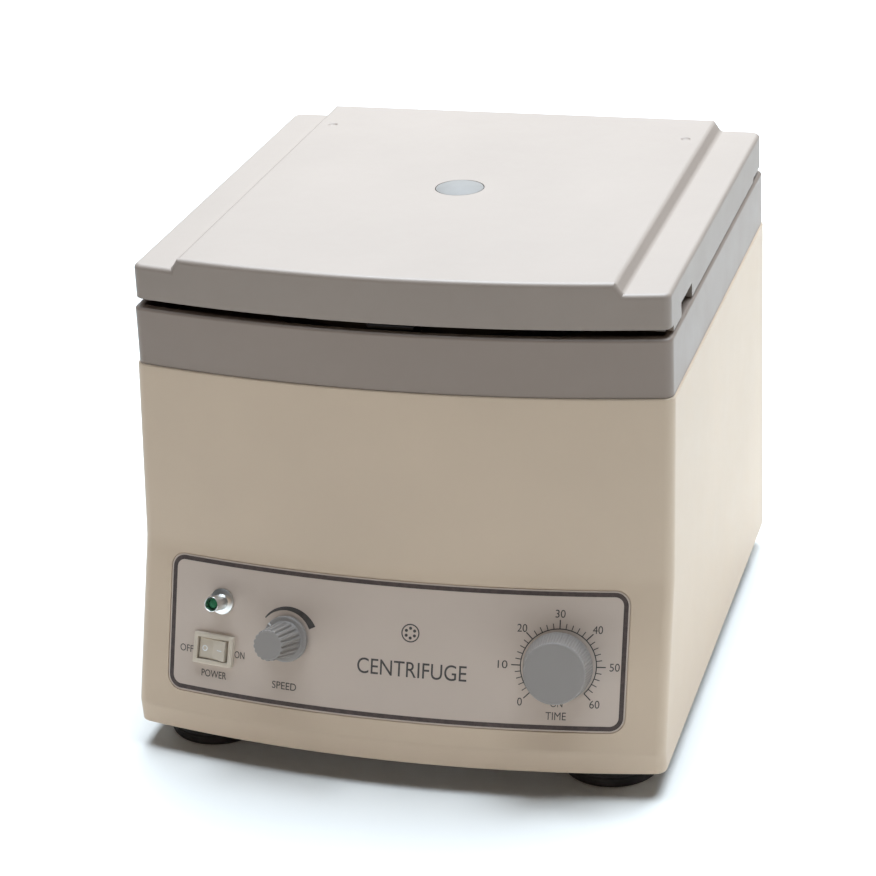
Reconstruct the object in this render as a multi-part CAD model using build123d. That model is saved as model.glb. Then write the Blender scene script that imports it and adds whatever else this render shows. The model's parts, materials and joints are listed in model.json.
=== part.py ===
"""Tabletop laboratory centrifuge: six 20 ml tubes, hinged lid, timer and speed knobs.

Millimetres, +Z up. The origin is on the bench plane, under the rotor's axis. The front panel faces -Y.
"""
from build123d import *
import math
import os

# ---- driving dimensions -------------------------------------------------------------------------
WIDTH = 260.0
HALF = WIDTH / 2
BACK = 131.0                # rear face of the housing and deck
BOW = 14.0                  # how far the front bulges forward in the middle
CORNER = 6.0                # vertical corner radius
WALL = 3.0                  # moulded wall thickness

BOTTOM_Z = 12.0             # lower edge of the housing
CHIN_Z = 23.5               # lower edge of the flared panel zone
BEND_Z = 99.5               # where the front starts to flare out
BEND_SOFT = 3.5             # half height of the soft bend
HOUSING_TOP = 187.5
DECK_TOP = 216.0
FRONT_TOP = -119.0          # front corner line at the deck
FRONT_BEND = -126.7         # front corner line at the bend
FRONT_CHIN = -151.7         # front corner line at the chin
FRONT_BOTTOM = -150.2       # front corner line at the lower edge

PANEL_X = -1.2              # middle of the label
PANEL_Z = 64.4
PANEL_W = 225.0
PANEL_H = 66.0
PANEL_R = 7.0
PANEL_RECESS = 0.8
PANEL_THICK = 0.6

LAMP_XZ = (-86.0, 76.8)
SWITCH_XZ = (-89.2, 54.3)
SPEED_XZ = (-51.5, 64.5)
TIMER_XZ = (79.8, 62.0)
LAMP_HOLE_R = 3.2
SPEED_HOLE_R = 4.1
TIMER_HOLE_R = 5.1
SWITCH_HOLE = (9.6, 6.6)    # half width and half height of the switch's cut-out

LID_HALF = 128.4
LID_FRONT = -117.2
LID_BACK = 129.0
LID_SKIRT_Z = 217.0         # lower edge of the lid's sides
LID_LIP_Z = 219.5           # lower edge of the lid's front
LID_REAR_Z = 219.0          # lower edge of the lid's back, raised to clear the deck as it opens
LID_CORNER = 5.0
NOTCH_Y = (-92.0, -66.0)    # finger notches in the lid's sides
NOTCH_Z = 224.0
DIMPLES = [(-95.3, 93.5), (95.3, 93.5)]
LINER_LOW = 217.6           # underside of the lid's inner pan
LID_FLANGE_Z = 237.0
LID_TOP_Z = 242.5
PLATFORM_BASE = 107.6
PLATFORM_TOP = 104.0
PLUG_R = 107.0              # round plug under the lid
PLUG_WALL = 2.0
PLUG_LOW = 205.6
PLUG_FLOOR = 1.8
SIGHT_R = 12.6              # bore of the sight tube
WINDOW_R = 11.8
WINDOW_RISE = 2.4           # how far the sight glass stands over the lid
WINDOW_DOME_R = 30.0

DECK_RIM = 5.5
DECK_FLOOR = 199.0          # upper side of the deck's recessed floor
DECK_FLOOR_THICK = 3.0
BOWL_R = 98.0
BOWL_WALL = 1.5
BOWL_FLOOR = 104.0          # underside of the chamber bowl
BOWL_FLANGE_R = 108.0
BOWL_RIM = 194.5            # underside of the bowl's flange
BOWL_CORNER = 12.5          # inner radius between the bowl's wall and floor
SEAL_TOP = 205.2

HINGE_Y = 135.0
HINGE_Z = 217.5
HINGE_X = 75.0
HINGE_LEN = 40.0
HINGE_BARREL_R = 4.0
HINGE_PIN_R = 2.0
HINGE_SCREWS = (-13.0, 13.0)
BASE_LEAF_SCREW_Z = 204.0
LID_LEAF_SCREW_Z = 228.0
BASE_LEAF_THICK = 2.0
LID_LEAF_THICK = 1.7
KNUCKLE_HALF = 6.8          # half length of the lid's middle knuckle
KNUCKLE_GAP = 7.2           # inner end of the base's outer knuckles
RUNNING = 0.05              # radial clearance of a running fit

SHAFT_R = 4.0
MOTOR_R = 45.0
MOTOR_LOW = 31.6
MOTOR_HIGH = 91.6
PLATE_LOW = 12.6
PLATE_HIGH = 14.6

TUBES = 6
TUBE_TILT = 35.0
TUBE_MOUTH_R = 40.0         # distance of each tube mouth from the rotor's axis
TUBE_MOUTH_Z = 174.0
TUBE_BORE_R = 11.0
TUBE_WALL = 1.0
TUBE_DEPTH = 66.0

FOOT_R = 23.5
FOOT_EDGE = 1.5
FEET = [(-99, -124.5), (99, -124.5), (-99, 92), (99, 92)]
POSTS = [(x, y) for x in (-120, 120) for y in (-98, 0, 110)]
POST_INNER = 114.5          # inner face of each screw post
POST_HALF = 5.5             # half length of each screw post
DAMPER_ANGLES = (90, 210, 330)
DAMPER_RADIUS = 52.0

LOW = (Align.CENTER, Align.CENTER, Align.MIN)


# ---- helpers --------------------------------------------------------------------------------------
def rod(radius, low, high):
    return Pos(0, 0, low) * Cylinder(radius, high - low, align=LOW)


def ring(outer, inner, low, high):
    return rod(outer, low, high) - rod(inner, low - 1, high + 1)


def block(x0, x1, y0, y1, z0, z1):
    return Pos((x0 + x1) / 2, (y0 + y1) / 2, z0) * Box(x1 - x0, y1 - y0, z1 - z0, align=LOW)


def plan(z, front, inset=0.0, half=HALF, back=BACK, corner=CORNER):
    """Plan outline at height z: bowed front, straight sides and back, rounded corners."""
    side = half - inset
    near = front + inset
    with BuildSketch(Plane.XY.offset(z)) as outline:
        with BuildLine():
            ThreePointArc((-side, near), (0, near - BOW), (side, near))
            Polyline((side, near), (side, back - inset), (-side, back - inset), (-side, near))
        make_face()
        fillet(outline.vertices(), corner - inset)
    return outline.sketch


def front_at(z):
    """Front corner line at height z."""
    upper = (FRONT_TOP - FRONT_BEND) / (HOUSING_TOP - BEND_Z)
    lower = (FRONT_BEND - FRONT_CHIN) / (BEND_Z - CHIN_Z)
    chin = (FRONT_CHIN - FRONT_BOTTOM) / (CHIN_Z - BOTTOM_Z)
    if z < CHIN_Z:
        return FRONT_CHIN + chin * (z - CHIN_Z)
    if z < BEND_Z - BEND_SOFT:
        return FRONT_BEND + lower * (z - BEND_Z)
    if z > BEND_Z + BEND_SOFT:
        return FRONT_BEND + upper * (z - BEND_Z)
    start = z - BEND_Z + BEND_SOFT
    return FRONT_BEND - lower * BEND_SOFT + lower * start + (upper - lower) * start ** 2 / (4 * BEND_SOFT)


def body_solid(inset, low, high):
    """The housing's outer form, moved inwards by inset, between two heights."""
    soft = [BEND_Z + BEND_SOFT * step / 3 for step in range(-3, 4)]
    levels = [low] + [z for z in [CHIN_Z] + soft if low < z < high] + [high]
    return loft([plan(z, front_at(z), inset) for z in levels], ruled=True)


def bow_radius():
    return (HALF ** 2 + BOW ** 2) / (2 * BOW)


def panel_frame(x, z):
    """Plane on the flared front at (x, z): its z points out of the panel, its x to the right."""
    radius = bow_radius()
    across = math.sqrt(radius ** 2 - x ** 2)
    y = front_at(z) - BOW + radius - across
    slope = (FRONT_BEND - FRONT_CHIN) / (BEND_Z - CHIN_Z)
    return Plane(origin=(x, y, z), x_dir=(1, x / across, 0), z_dir=(x / across, -1, slope))


def panel_prism(width, height, corner):
    """Rounded block seen from the front, used to cut the label's outline."""
    slope = (FRONT_BEND - FRONT_CHIN) / (BEND_Z - CHIN_Z)
    upright = height * math.cos(math.atan(slope))
    sketch = Pos(PANEL_X, PANEL_Z) * RectangleRounded(width, upright, corner)
    return extrude(Plane.XZ * sketch, 200)


def panel_layer(outer_depth, inner_depth, width, height, corner):
    """Skin of the flared front between two depths, with the label's outline."""
    skin = body_solid(outer_depth, CHIN_Z + 2, BEND_Z) - body_solid(inner_depth, CHIN_Z, BEND_Z + 4)
    return skin & panel_prism(width, height, corner)


def at_each(places, shape):
    return Part() + [Pos(x, y, 0) * shape for x, y in places]


def damper_places():
    turn = [math.radians(angle) for angle in DAMPER_ANGLES]
    return [(DAMPER_RADIUS * math.cos(a), DAMPER_RADIUS * math.sin(a)) for a in turn]


def screw(radius, length, head_r, head_h):
    """Pan-head screw along +Z: the head's underside at z 0, the shank below."""
    head = rod(head_r, 0, head_h)
    head = fillet(head.faces().sort_by(Axis.Z)[-1].edges(), head_h * 0.6)
    slot = block(-head_r * 0.6, head_r * 0.6, -head_h * 0.15, head_h * 0.15, head_h * 0.5, head_h + 1)
    return head + rod(radius, -length, 0) - slot


# ---- housing and base -----------------------------------------------------------------------------
SCREW_R = 1.5
FLOOR_VENT_PITCH = 8.0      # slots under the motor
REAR_INLET = (-72.0, 58.0)
REAR_FUSE = (-26.0, 58.0)
INLET_HOLES = [(-20, 0), (20, 0)]
VENT_ROWS = 6               # slots in the rear wall
VENT_X = (25.0, 95.0)
VENT_LOW = 50.0
VENT_PITCH = 9.0
VENT_HEIGHT = 3.5


def rear_frame(x, z):
    """Plane on the rear face: its z points out of the back."""
    return Plane(origin=(x, BACK, z), x_dir=(-1, 0, 0), z_dir=(0, 1, 0))


def screw_posts(low, high):
    """Posts against the side walls that the case screws run into."""
    posts = Part()
    for x, y in POSTS:
        near, far = sorted(math.copysign(reach, x) for reach in (POST_INNER, HALF - WALL + 0.5))
        posts += block(near, far, y - POST_HALF, y + POST_HALF, low, high)
    return posts


def panel_holes():
    """Holes that the lamp, the switch and the two dials pass through."""
    wide, high = SWITCH_HOLE
    holes = panel_frame(*SWITCH_XZ).location * block(-wide, wide, -high, high, -8, 3)
    for place, radius in ((LAMP_XZ, LAMP_HOLE_R), (SPEED_XZ, SPEED_HOLE_R), (TIMER_XZ, TIMER_HOLE_R)):
        holes += panel_frame(*place).location * rod(radius, -6, 3)
    return holes


def housing_shell():
    shell = body_solid(0, BOTTOM_Z, HOUSING_TOP) - body_solid(WALL, BOTTOM_Z - 1, HOUSING_TOP + 1)
    shell += screw_posts(PLATE_HIGH, HOUSING_TOP)
    shell -= at_each(POSTS, rod(SCREW_R, PLATE_HIGH - 1, PLATE_HIGH + 14))
    shell -= at_each(POSTS, rod(SCREW_R, HOUSING_TOP - 14, HOUSING_TOP + 1))
    shell -= panel_layer(-1, PANEL_RECESS, PANEL_W + 0.4, PANEL_H + 0.4, PANEL_R + 0.2)
    shell -= panel_holes()
    inlet = rear_frame(*REAR_INLET).location
    shell -= inlet * block(-13.7, 13.7, -10, 10, -6, 3)
    shell -= inlet * at_each(INLET_HOLES, rod(SCREW_R, -6, 3))
    shell -= rear_frame(*REAR_FUSE).location * rod(6.1, -6, 3)
    for row in range(VENT_ROWS):
        z = VENT_LOW + VENT_PITCH * row
        shell -= block(*VENT_X, BACK - WALL - 2, BACK + 2, z, z + VENT_HEIGHT)
    return shell


def base_plate():
    plate = extrude(plan(PLATE_LOW, front_at(PLATE_LOW), WALL + 0.4), PLATE_HIGH - PLATE_LOW)
    plate -= at_each(FEET, rod(2.0, 0, 20))
    plate -= at_each(POSTS, rod(SCREW_R, 0, 20))
    plate -= at_each(damper_places(), rod(2.5, 0, 20))
    for step in range(-3, 4):
        x = FLOOR_VENT_PITCH * step
        plate -= block(x - 1.5, x + 1.5, -22, 22, 0, 20)
    return plate


def rubber_feet():
    foot = rod(FOOT_R, 0, PLATE_LOW)
    foot = fillet(foot.edges().group_by(Axis.Z)[0], FOOT_EDGE)
    foot = foot - rod(5.5, -1, 5) - rod(2.0, 0, 20)
    return at_each(FEET, foot)


def foot_bolts():
    """A screw up through each foot, with its nut above the base plate."""
    one = Pos(0, 0, 5) * Rot(180, 0, 0) * screw(2.0, 14.5, 4.5, 2.6)
    nut = Pos(0, 0, PLATE_HIGH) * extrude(RegularPolygon(3.9, 6), 3.2) - rod(2.0, 0, 30)
    return at_each(FEET, one) + at_each(FEET, nut)


def case_screws():
    """Screws up through the base plate and down through the deck, into the housing's posts."""
    lower = Pos(0, 0, PLATE_LOW) * Rot(180, 0, 0) * screw(SCREW_R, 15, 3.0, 2.0)
    upper = Pos(0, 0, DECK_FLOOR) * screw(SCREW_R, DECK_FLOOR - HOUSING_TOP + 12, 3.0, 2.0)
    return at_each(POSTS, lower) + at_each(POSTS, upper)


def top_deck():
    deck = extrude(plan(HOUSING_TOP, FRONT_TOP), DECK_TOP - HOUSING_TOP)
    deck = fillet(deck.edges().group_by(Axis.Z)[-1], 1.5)
    deck -= extrude(plan(DECK_FLOOR, FRONT_TOP, DECK_RIM), DECK_TOP)
    deck -= extrude(plan(HOUSING_TOP - 1, FRONT_TOP, WALL), DECK_FLOOR - DECK_FLOOR_THICK - HOUSING_TOP + 1)
    deck += screw_posts(HOUSING_TOP, DECK_FLOOR - DECK_FLOOR_THICK + 0.5)
    deck -= rod(BOWL_R + 0.5, DECK_FLOOR - 9, DECK_FLOOR + 9)
    deck -= at_each(POSTS, rod(SCREW_R, HOUSING_TOP - 1, DECK_FLOOR + 1))
    return deck - each_hinge(leaf_screw_holes(BACK + 1, BASE_LEAF_SCREW_Z))


def chamber_bowl():
    cup = rod(BOWL_R + BOWL_WALL, BOWL_FLOOR, BOWL_RIM)
    cup = fillet(cup.edges().group_by(Axis.Z)[0], BOWL_CORNER + BOWL_WALL)
    hollow = rod(BOWL_R, BOWL_FLOOR + BOWL_WALL, 210)
    hollow = fillet(hollow.edges().group_by(Axis.Z)[0], BOWL_CORNER)
    flange = rod(BOWL_FLANGE_R, BOWL_RIM, DECK_FLOOR - DECK_FLOOR_THICK)
    return cup + flange - hollow - rod(14.0, BOWL_FLOOR - 1, BOWL_FLOOR + 5)


def shaft_grommet():
    rubber = ring(17.0, 8.0, BOWL_FLOOR - 2, BOWL_FLOOR + 3.5)
    return rubber - ring(18.0, 14.0, BOWL_FLOOR, BOWL_FLOOR + BOWL_WALL)


def chamber_seal():
    profile = ring(106.0, 100.0, DECK_FLOOR, SEAL_TOP)
    return fillet(profile.edges().group_by(Axis.Z)[-1], 2.0)


# ---- lid --------------------------------------------------------------------------------------------
def lid_section(inset):
    """Cross-section of the lid across the machine: side flanges and a raised middle."""
    half = LID_HALF - inset
    base = PLATFORM_BASE - inset
    top = PLATFORM_TOP - inset
    flange = LID_FLANGE_Z - inset
    high = LID_TOP_Z - inset
    low = LID_SKIRT_Z - (1 if inset else 0)
    right = [(half, low), (half, flange), (base, flange), (top, high)]
    left = [(-x, z) for x, z in reversed(right)]
    outline = Polyline(*right, *left, close=True)
    return make_face(outline)


def lid_form(inset):
    low = LID_SKIRT_Z - (1 if inset else 0)
    section = extrude(Plane.XZ.offset(150) * lid_section(inset), -300)
    column = extrude(plan(low, LID_FRONT, inset, LID_HALF, LID_BACK, LID_CORNER), 40)
    return section & column


def lid_shell():
    shell = lid_form(0)
    shell = fillet(shell.edges().group_by(Axis.Z)[-1], 1.2)
    shell -= lid_form(WALL)
    shell -= block(-140, 140, -140, LID_FRONT + 7, 200, LID_LIP_Z)
    shell -= block(-140, 140, 104, 140, 200, LID_REAR_Z)
    shell -= block(LID_HALF - 6, 140, *NOTCH_Y, 200, NOTCH_Z)
    shell -= block(-140, 6 - LID_HALF, *NOTCH_Y, 200, NOTCH_Z)
    shell -= rod(WINDOW_R + 0.2, 230, 250)
    shell -= at_each(DIMPLES, rod(3.0, LID_TOP_Z - 0.8, 250))
    return shell - each_hinge(leaf_screw_holes(LID_BACK, LID_LEAF_SCREW_Z))


def lid_liner():
    """Inner pan of the lid: a sheet with a round plug that closes the chamber on the seal."""
    sheet = extrude(plan(LINER_LOW, LID_FRONT, WALL + 0.4, LID_HALF, LID_BACK, LID_CORNER), 2.0)
    sheet -= block(-140, 140, -140, LID_FRONT + 4, 200, 240)
    sheet -= block(-140, 140, 120, 140, 200, 240)
    plug = ring(PLUG_R, PLUG_R - PLUG_WALL, PLUG_LOW, LINER_LOW + 0.4)
    plug += rod(PLUG_R, PLUG_LOW, PLUG_LOW + PLUG_FLOOR)
    tower = ring(SIGHT_R + 1.9, SIGHT_R, PLUG_LOW + 0.4, LID_FLANGE_Z + 2.5)
    return sheet - rod(PLUG_R - PLUG_WALL, 200, 240) + plug - rod(SIGHT_R, 200, 240) + tower


def lid_window():
    """Clear domed sight glass in the middle of the lid."""
    dome = Pos(0, 0, LID_TOP_Z + WINDOW_RISE - WINDOW_DOME_R) * Sphere(WINDOW_DOME_R)
    return (rod(WINDOW_R, LID_FLANGE_Z - 1, 250) & dome) - rod(WINDOW_R - 1.8, 235, LID_TOP_Z - 2)


def chamber_glass():
    """Clear disc that closes the sight tube over the chamber."""
    return rod(SIGHT_R - 0.1, PLUG_LOW + 2, PLUG_LOW + 4)


def latch_plate():
    """Steel tongue under the front of the lid's pan, which the magnet holds."""
    return block(-11, 11, -126, -108, 216.0, LINER_LOW)


def catch_magnet():
    return block(-12, 12, -126.5, -117.5, DECK_FLOOR, 215.6)


# ---- hinges -----------------------------------------------------------------------------------------
def leaf_screw_holes(y, z):
    """The two screw holes behind one hinge leaf."""
    hole = Rot(90, 0, 0) * Cylinder(SCREW_R, 14)
    return Part() + [Pos(offset, y, z) * hole for offset in HINGE_SCREWS]


def barrel(radius, half_length, offset=0.0):
    return Pos(offset, HINGE_Y, HINGE_Z) * Rot(0, 90, 0) * Cylinder(radius, 2 * half_length)


def each_hinge(shape):
    return Part() + [Pos(x, 0, 0) * shape for x in (-HINGE_X, HINGE_X)]


def hinge_base_leaves():
    half = HINGE_LEN / 2
    leaf = block(-half, half, BACK, BACK + BASE_LEAF_THICK, 196, 213)
    for side in (-1, 1):
        near, far = sorted((side * KNUCKLE_GAP, side * half))
        leaf += block(near, far, BACK, BACK + BASE_LEAF_THICK, 212, HINGE_Z)
        leaf += barrel(HINGE_BARREL_R, (half - KNUCKLE_GAP) / 2, side * (half + KNUCKLE_GAP) / 2)
    leaf -= barrel(HINGE_PIN_R, half + 2)
    return each_hinge(leaf - leaf_screw_holes(BACK + 1, BASE_LEAF_SCREW_Z))


def hinge_lid_leaves():
    half = HINGE_LEN / 2
    leaf = block(-half, half, LID_BACK, LID_BACK + LID_LEAF_THICK, 222.5, 234)
    leaf += block(-KNUCKLE_HALF, KNUCKLE_HALF, LID_BACK, HINGE_Y, LID_REAR_Z, 221.4)
    leaf += block(-KNUCKLE_HALF, KNUCKLE_HALF, LID_BACK, LID_BACK + LID_LEAF_THICK, LID_REAR_Z, 223)
    leaf += barrel(HINGE_BARREL_R, KNUCKLE_HALF)
    leaf -= barrel(HINGE_PIN_R + RUNNING, half)
    return each_hinge(leaf - leaf_screw_holes(LID_BACK, LID_LEAF_SCREW_Z))


def hinge_pins():
    return each_hinge(barrel(HINGE_PIN_R, HINGE_LEN / 2 + 1))


def hinge_base_screws():
    return hinge_screws(BACK + BASE_LEAF_THICK, BASE_LEAF_SCREW_Z, 7)


def hinge_lid_screws():
    return hinge_screws(LID_BACK + LID_LEAF_THICK, LID_LEAF_SCREW_Z, 4)


def hinge_screws(face_y, z, length):
    one = Rot(-90, 0, 0) * screw(SCREW_R, length, 2.8, 1.6)
    return each_hinge(Part() + [Pos(offset, face_y, z) * one for offset in HINGE_SCREWS])


# ---- front panel and controls -------------------------------------------------------------------------
SWITCH_CAVITY = (8.2, 5.3)      # half width and half height of the rocker's opening
ROCKER_TRAVEL = 16.0            # degrees between the two stops
ROCKER_PIVOT = -2.0             # depth of the rocker's pivot behind the panel


def control_panel():
    plate = panel_layer(PANEL_RECESS - PANEL_THICK, PANEL_RECESS, PANEL_W, PANEL_H, PANEL_R)
    return plate - panel_holes()


def indicator_bezel():
    body = rod(3.7, 0, 11.5)
    body = fillet(body.edges().group_by(Axis.Z)[-1], 0.6)
    body += rod(6.2, 0, 1.0)
    body += rod(3.1, -9, 0)
    return panel_frame(*LAMP_XZ).location * (body - rod(2.4, -10, 20))


def indicator_lens():
    dome = Pos(0, 0, 8.2) * Sphere(2.3)
    return panel_frame(*LAMP_XZ).location * (rod(2.3, -5, 8.2) + dome)


def control_nuts():
    """Nuts of the lamp, behind the wall, and of the two dial bushes, in front of it."""
    lamp = Pos(0, 0, -WALL - 2.4) * extrude(RegularPolygon(5.0, 6), 2.2) - rod(3.1, -20, 20)
    speed = extrude(RegularPolygon(6.4, 6), 2.4) - rod(4.0, -1, 5)
    timer = extrude(RegularPolygon(7.8, 6), 2.4) - rod(5.0, -1, 5)
    placed = [(LAMP_XZ, lamp), (SPEED_XZ, speed), (TIMER_XZ, timer)]
    return Part() + [panel_frame(*place).location * nut for place, nut in placed]


def switch_frame():
    wide, high = SWITCH_CAVITY
    body = block(-9.4, 9.4, -6.4, 6.4, -15, 1)
    flange = block(-10.5, 10.5, -7.5, 7.5, 0, 2.2)
    flange = chamfer(flange.edges().group_by(Axis.Z)[-1], 0.8)
    frame = body + flange - block(-wide, wide, -high, high, -11.5, 5)
    frame -= Pos(0, 0, ROCKER_PIVOT) * Rot(90, 0, 0) * Cylinder(1.0 + RUNNING, 11.9)
    return panel_frame(*SWITCH_XZ).location * frame


def switch_rocker():
    """Rocker at its off stop: left end pressed, right end raised."""
    with BuildSketch(Plane.XZ) as profile:
        with BuildLine():
            Polyline((0, 3.0), (7.3, 3.9), (7.3, -2.5), (3.2, -4.6), (-3.2, -4.6), (-7.3, -2.5), (-7.3, 3.9),
                     close=True)
        make_face()
    rocker = extrude(profile.sketch, 4.95, both=True)
    rocker += Rot(90, 0, 0) * Cylinder(1.0, 11.7)
    tilted = Pos(0, 0, ROCKER_PIVOT) * Rot(0, -ROCKER_TRAVEL / 2, 0) * rocker
    return panel_frame(*SWITCH_XZ).location * tilted


def switch_terminals():
    blades = [block(x - 0.4, x + 0.4, -2.4, 2.4, -23, -15) for x in (-6, 0, 6)]
    return panel_frame(*SWITCH_XZ).location * (Part() + blades)


def speed_potentiometer():
    body = rod(12.0, -15.5, -3.3) + rod(4.0, -4, 5.0)
    body += block(-6, 6, -17, -8, -9, -7)
    return panel_frame(*SPEED_XZ).location * (body - rod(3.0 + RUNNING, -14, 20))


def speed_shaft():
    return panel_frame(*SPEED_XZ).location * rod(3.0, -13.5, 16.0)


def speed_knob():
    """Skirted knob with a fluted grip; its hub is bored for the shaft."""
    skirt = rod(11.0, 1.0, 3.4)
    skirt = fillet(skirt.edges().group_by(Axis.Z)[-1], 0.8)
    grip = Pos(0, 0, 3.4) * Cone(8.5, 7.5, 19.6, align=LOW)
    grip = fillet(grip.edges().group_by(Axis.Z)[-1], 0.6)
    flute = Pos(8.9, 0, 6) * Rot(0, -2.9, 0) * Cylinder(1.0, 20, align=LOW)
    flutes = [Rot(0, 0, 20 * n) * flute for n in range(18)]
    hollow = rod(6.8, 0, 6.0)
    return panel_frame(*SPEED_XZ).location * (skirt + grip - flutes - hollow - rod(3.0, 0, 16.0))


def timer_mechanism():
    case = fillet(block(-24, 24, -24, 24, -34, -4.0).edges().filter_by(Axis.Z), 3)
    case += rod(5.0, -5, 4.5)
    case += block(-8, 8, 24, 30, -14, -12)
    return panel_frame(*TIMER_XZ).location * (case - rod(3.0 + RUNNING, -30, 20))


def timer_shaft():
    return panel_frame(*TIMER_XZ).location * rod(3.0, -29.5, 15.5)


def timer_knob():
    """Large tapered knob with fine knurling round its side."""
    knob = Pos(0, 0, 1.0) * Cone(16.2, 14.3, 18.6, align=LOW)
    knob = fillet(knob.edges().group_by(Axis.Z)[-1], 0.8)
    flute = Pos(16.2, 0, 3) * Rot(0, -5.8, 0) * Cylinder(0.6, 22, align=LOW)
    flutes = [Rot(0, 0, 10 * n) * flute for n in range(36)]
    hollow = rod(13.0, 0, 4.0) + rod(8.2, 0, 6.0)
    return panel_frame(*TIMER_XZ).location * (knob - flutes - hollow - rod(3.0, 0, 15.5))


# ---- drive ----------------------------------------------------------------------------------------------
BEARING_R = 11.0
LOWER_BEARING = (32.6, 39.6)
UPPER_BEARING = (88.6, 95.6)


def vibration_dampers():
    one = rod(10.0, PLATE_HIGH, 28.6)
    one = one - ring(12.0, 8.0, 19.6, 23.6)
    return at_each(damper_places(), one - rod(2.5, 0, 40))


def motor_plate():
    plate = rod(62.0, 28.6, MOTOR_LOW) - rod(20.0, 20, 40)
    return plate - at_each(damper_places(), rod(2.5, 20, 40))


def damper_bolts():
    """A screw up through each damper, with its nut above the motor plate."""
    one = Pos(0, 0, PLATE_LOW) * Rot(180, 0, 0) * screw(2.5, 24, 4.5, 2.4)
    nut = Pos(0, 0, MOTOR_LOW) * extrude(RegularPolygon(4.4, 6), 4) - rod(2.5, 0, 60)
    return at_each(damper_places(), one) + at_each(damper_places(), nut)


def motor_case():
    case = ring(MOTOR_R - 1.5, MOTOR_R - 4.0, MOTOR_LOW, MOTOR_HIGH)
    for side in (0, 180):
        case -= Rot(0, 0, side) * block(30, 50, -5, 5, 39.5, 49.5)
    return case


def motor_lower_cap():
    cap = rod(MOTOR_R - 4.0, MOTOR_LOW, 36.0) + rod(14.0, MOTOR_LOW, LOWER_BEARING[1])
    return cap - rod(BEARING_R, LOWER_BEARING[0], 60) - rod(9.0, 20, 60)


def motor_upper_cap():
    cap = rod(MOTOR_R, MOTOR_HIGH, 95.6) + rod(MOTOR_R - 4.0, MOTOR_HIGH - 2, MOTOR_HIGH + 1)
    cap += rod(14.0, 86.6, 95.6)
    return cap - rod(BEARING_R, UPPER_BEARING[0], 100) - rod(9.0, 80, 100)


def motor_bearings():
    rings = [ring(BEARING_R, SHAFT_R + RUNNING, *span) for span in (LOWER_BEARING, UPPER_BEARING)]
    return Part() + rings


def motor_stator():
    return ring(MOTOR_R - 4.0, 30.0, 52, 84)


def motor_armature():
    core = ring(29.4, SHAFT_R, 53, 83)
    for n in range(12):
        core -= Rot(0, 0, 30 * n) * block(26, 31, -1.2, 1.2, 50, 90)
    return core


def motor_commutator():
    return ring(13.0, SHAFT_R, 41, 51)


def carbon_brushes():
    brush = block(13.4, 26, -2.5, 2.5, 42, 47)
    return Part() + [Rot(0, 0, side) * brush for side in (0, 180)]


def brush_holders():
    holder = block(20, 47, -4, 4, 40.5, 48.5) - block(19, 44, -2.5, 2.5, 42, 47)
    return Part() + [Rot(0, 0, side) * holder for side in (0, 180)]


def motor_shaft():
    return rod(SHAFT_R, 33, HUB_HIGH) + rod(3.0, HUB_HIGH, 180)


# ---- rotor ----------------------------------------------------------------------------------------------
HUB_R = 13.0
HUB_LOW = 124.0
HUB_HIGH = 168.0            # seat of the rotor's nut


def tube_frame(index):
    """Plane at a tube's mouth: its z points out of the mouth, up and towards the axis."""
    turn = math.radians(60 * index)
    tilt = math.radians(TUBE_TILT)
    out = (math.cos(turn), math.sin(turn))
    origin = (TUBE_MOUTH_R * out[0], TUBE_MOUTH_R * out[1], TUBE_MOUTH_Z)
    axis = (-math.sin(tilt) * out[0], -math.sin(tilt) * out[1], math.cos(tilt))
    return Plane(origin=origin, x_dir=(-out[1], out[0], 0), z_dir=axis)


def rotor_head():
    """Dished head, square to the tubes, on a central hub."""
    lean = math.tan(math.radians(TUBE_TILT))
    middle = TUBE_MOUTH_Z - 1.0
    inner, outer = 19.0, 62.0
    low_z = middle + (inner - TUBE_MOUTH_R) * lean
    high_z = middle + (outer - TUBE_MOUTH_R) * lean
    thick = 8.0
    with BuildSketch(Plane.XZ) as profile:
        with BuildLine():
            Polyline((SHAFT_R, HUB_LOW), (HUB_R, HUB_LOW), (HUB_R, 140), (inner, low_z - thick - 3),
                     (outer, high_z - thick - 1), (outer + 2, high_z - thick + 2), (outer + 2, high_z),
                     (outer, high_z), (inner, low_z), (HUB_R - 1, low_z), (HUB_R - 1, HUB_HIGH),
                     (SHAFT_R, HUB_HIGH), close=True)
        make_face()
    head = revolve(profile.sketch, Axis.Z)
    for index in range(TUBES):
        hole = rod(TUBE_BORE_R + TUBE_WALL, -60, 30) + rod(TUBE_BORE_R + 3.2, -1.5, 30)
        head -= tube_frame(index).location * hole
    return head


def tube_sleeves():
    sleeve = rod(TUBE_BORE_R + TUBE_WALL, -TUBE_DEPTH - 1.5, 0) + rod(TUBE_BORE_R + 3, -1.5, 0)
    sleeve = fillet(sleeve.edges().group_by(Axis.Z)[0], 4.0)
    sleeve -= rod(TUBE_BORE_R, -TUBE_DEPTH, 5)
    return Part() + [tube_frame(index).location * sleeve for index in range(TUBES)]


def rotor_nut():
    nut = Pos(0, 0, HUB_HIGH) * extrude(RegularPolygon(9.0, 6), 5)
    nut += rod(11.0, HUB_HIGH, HUB_HIGH + 1.5) + rod(6.5, HUB_HIGH + 5, HUB_HIGH + 10)
    return nut - rod(3.0, 160, 190)


# ---- electrical pieces ------------------------------------------------------------------------------------
BOARD = (-114, -66, 22, 98)     # low x, high x, low y, high y
BOARD_Z = 24.0


def control_board():
    x0, x1, y0, y1 = BOARD
    board = block(x0, x1, y0, y1, BOARD_Z, BOARD_Z + 1.6)
    return board - at_each(standoff_places(), rod(SCREW_R, 0, 60))


def standoff_places():
    x0, x1, y0, y1 = BOARD
    return [(x, y) for x in (x0 + 4, x1 - 4) for y in (y0 + 4, y1 - 4)]


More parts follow.
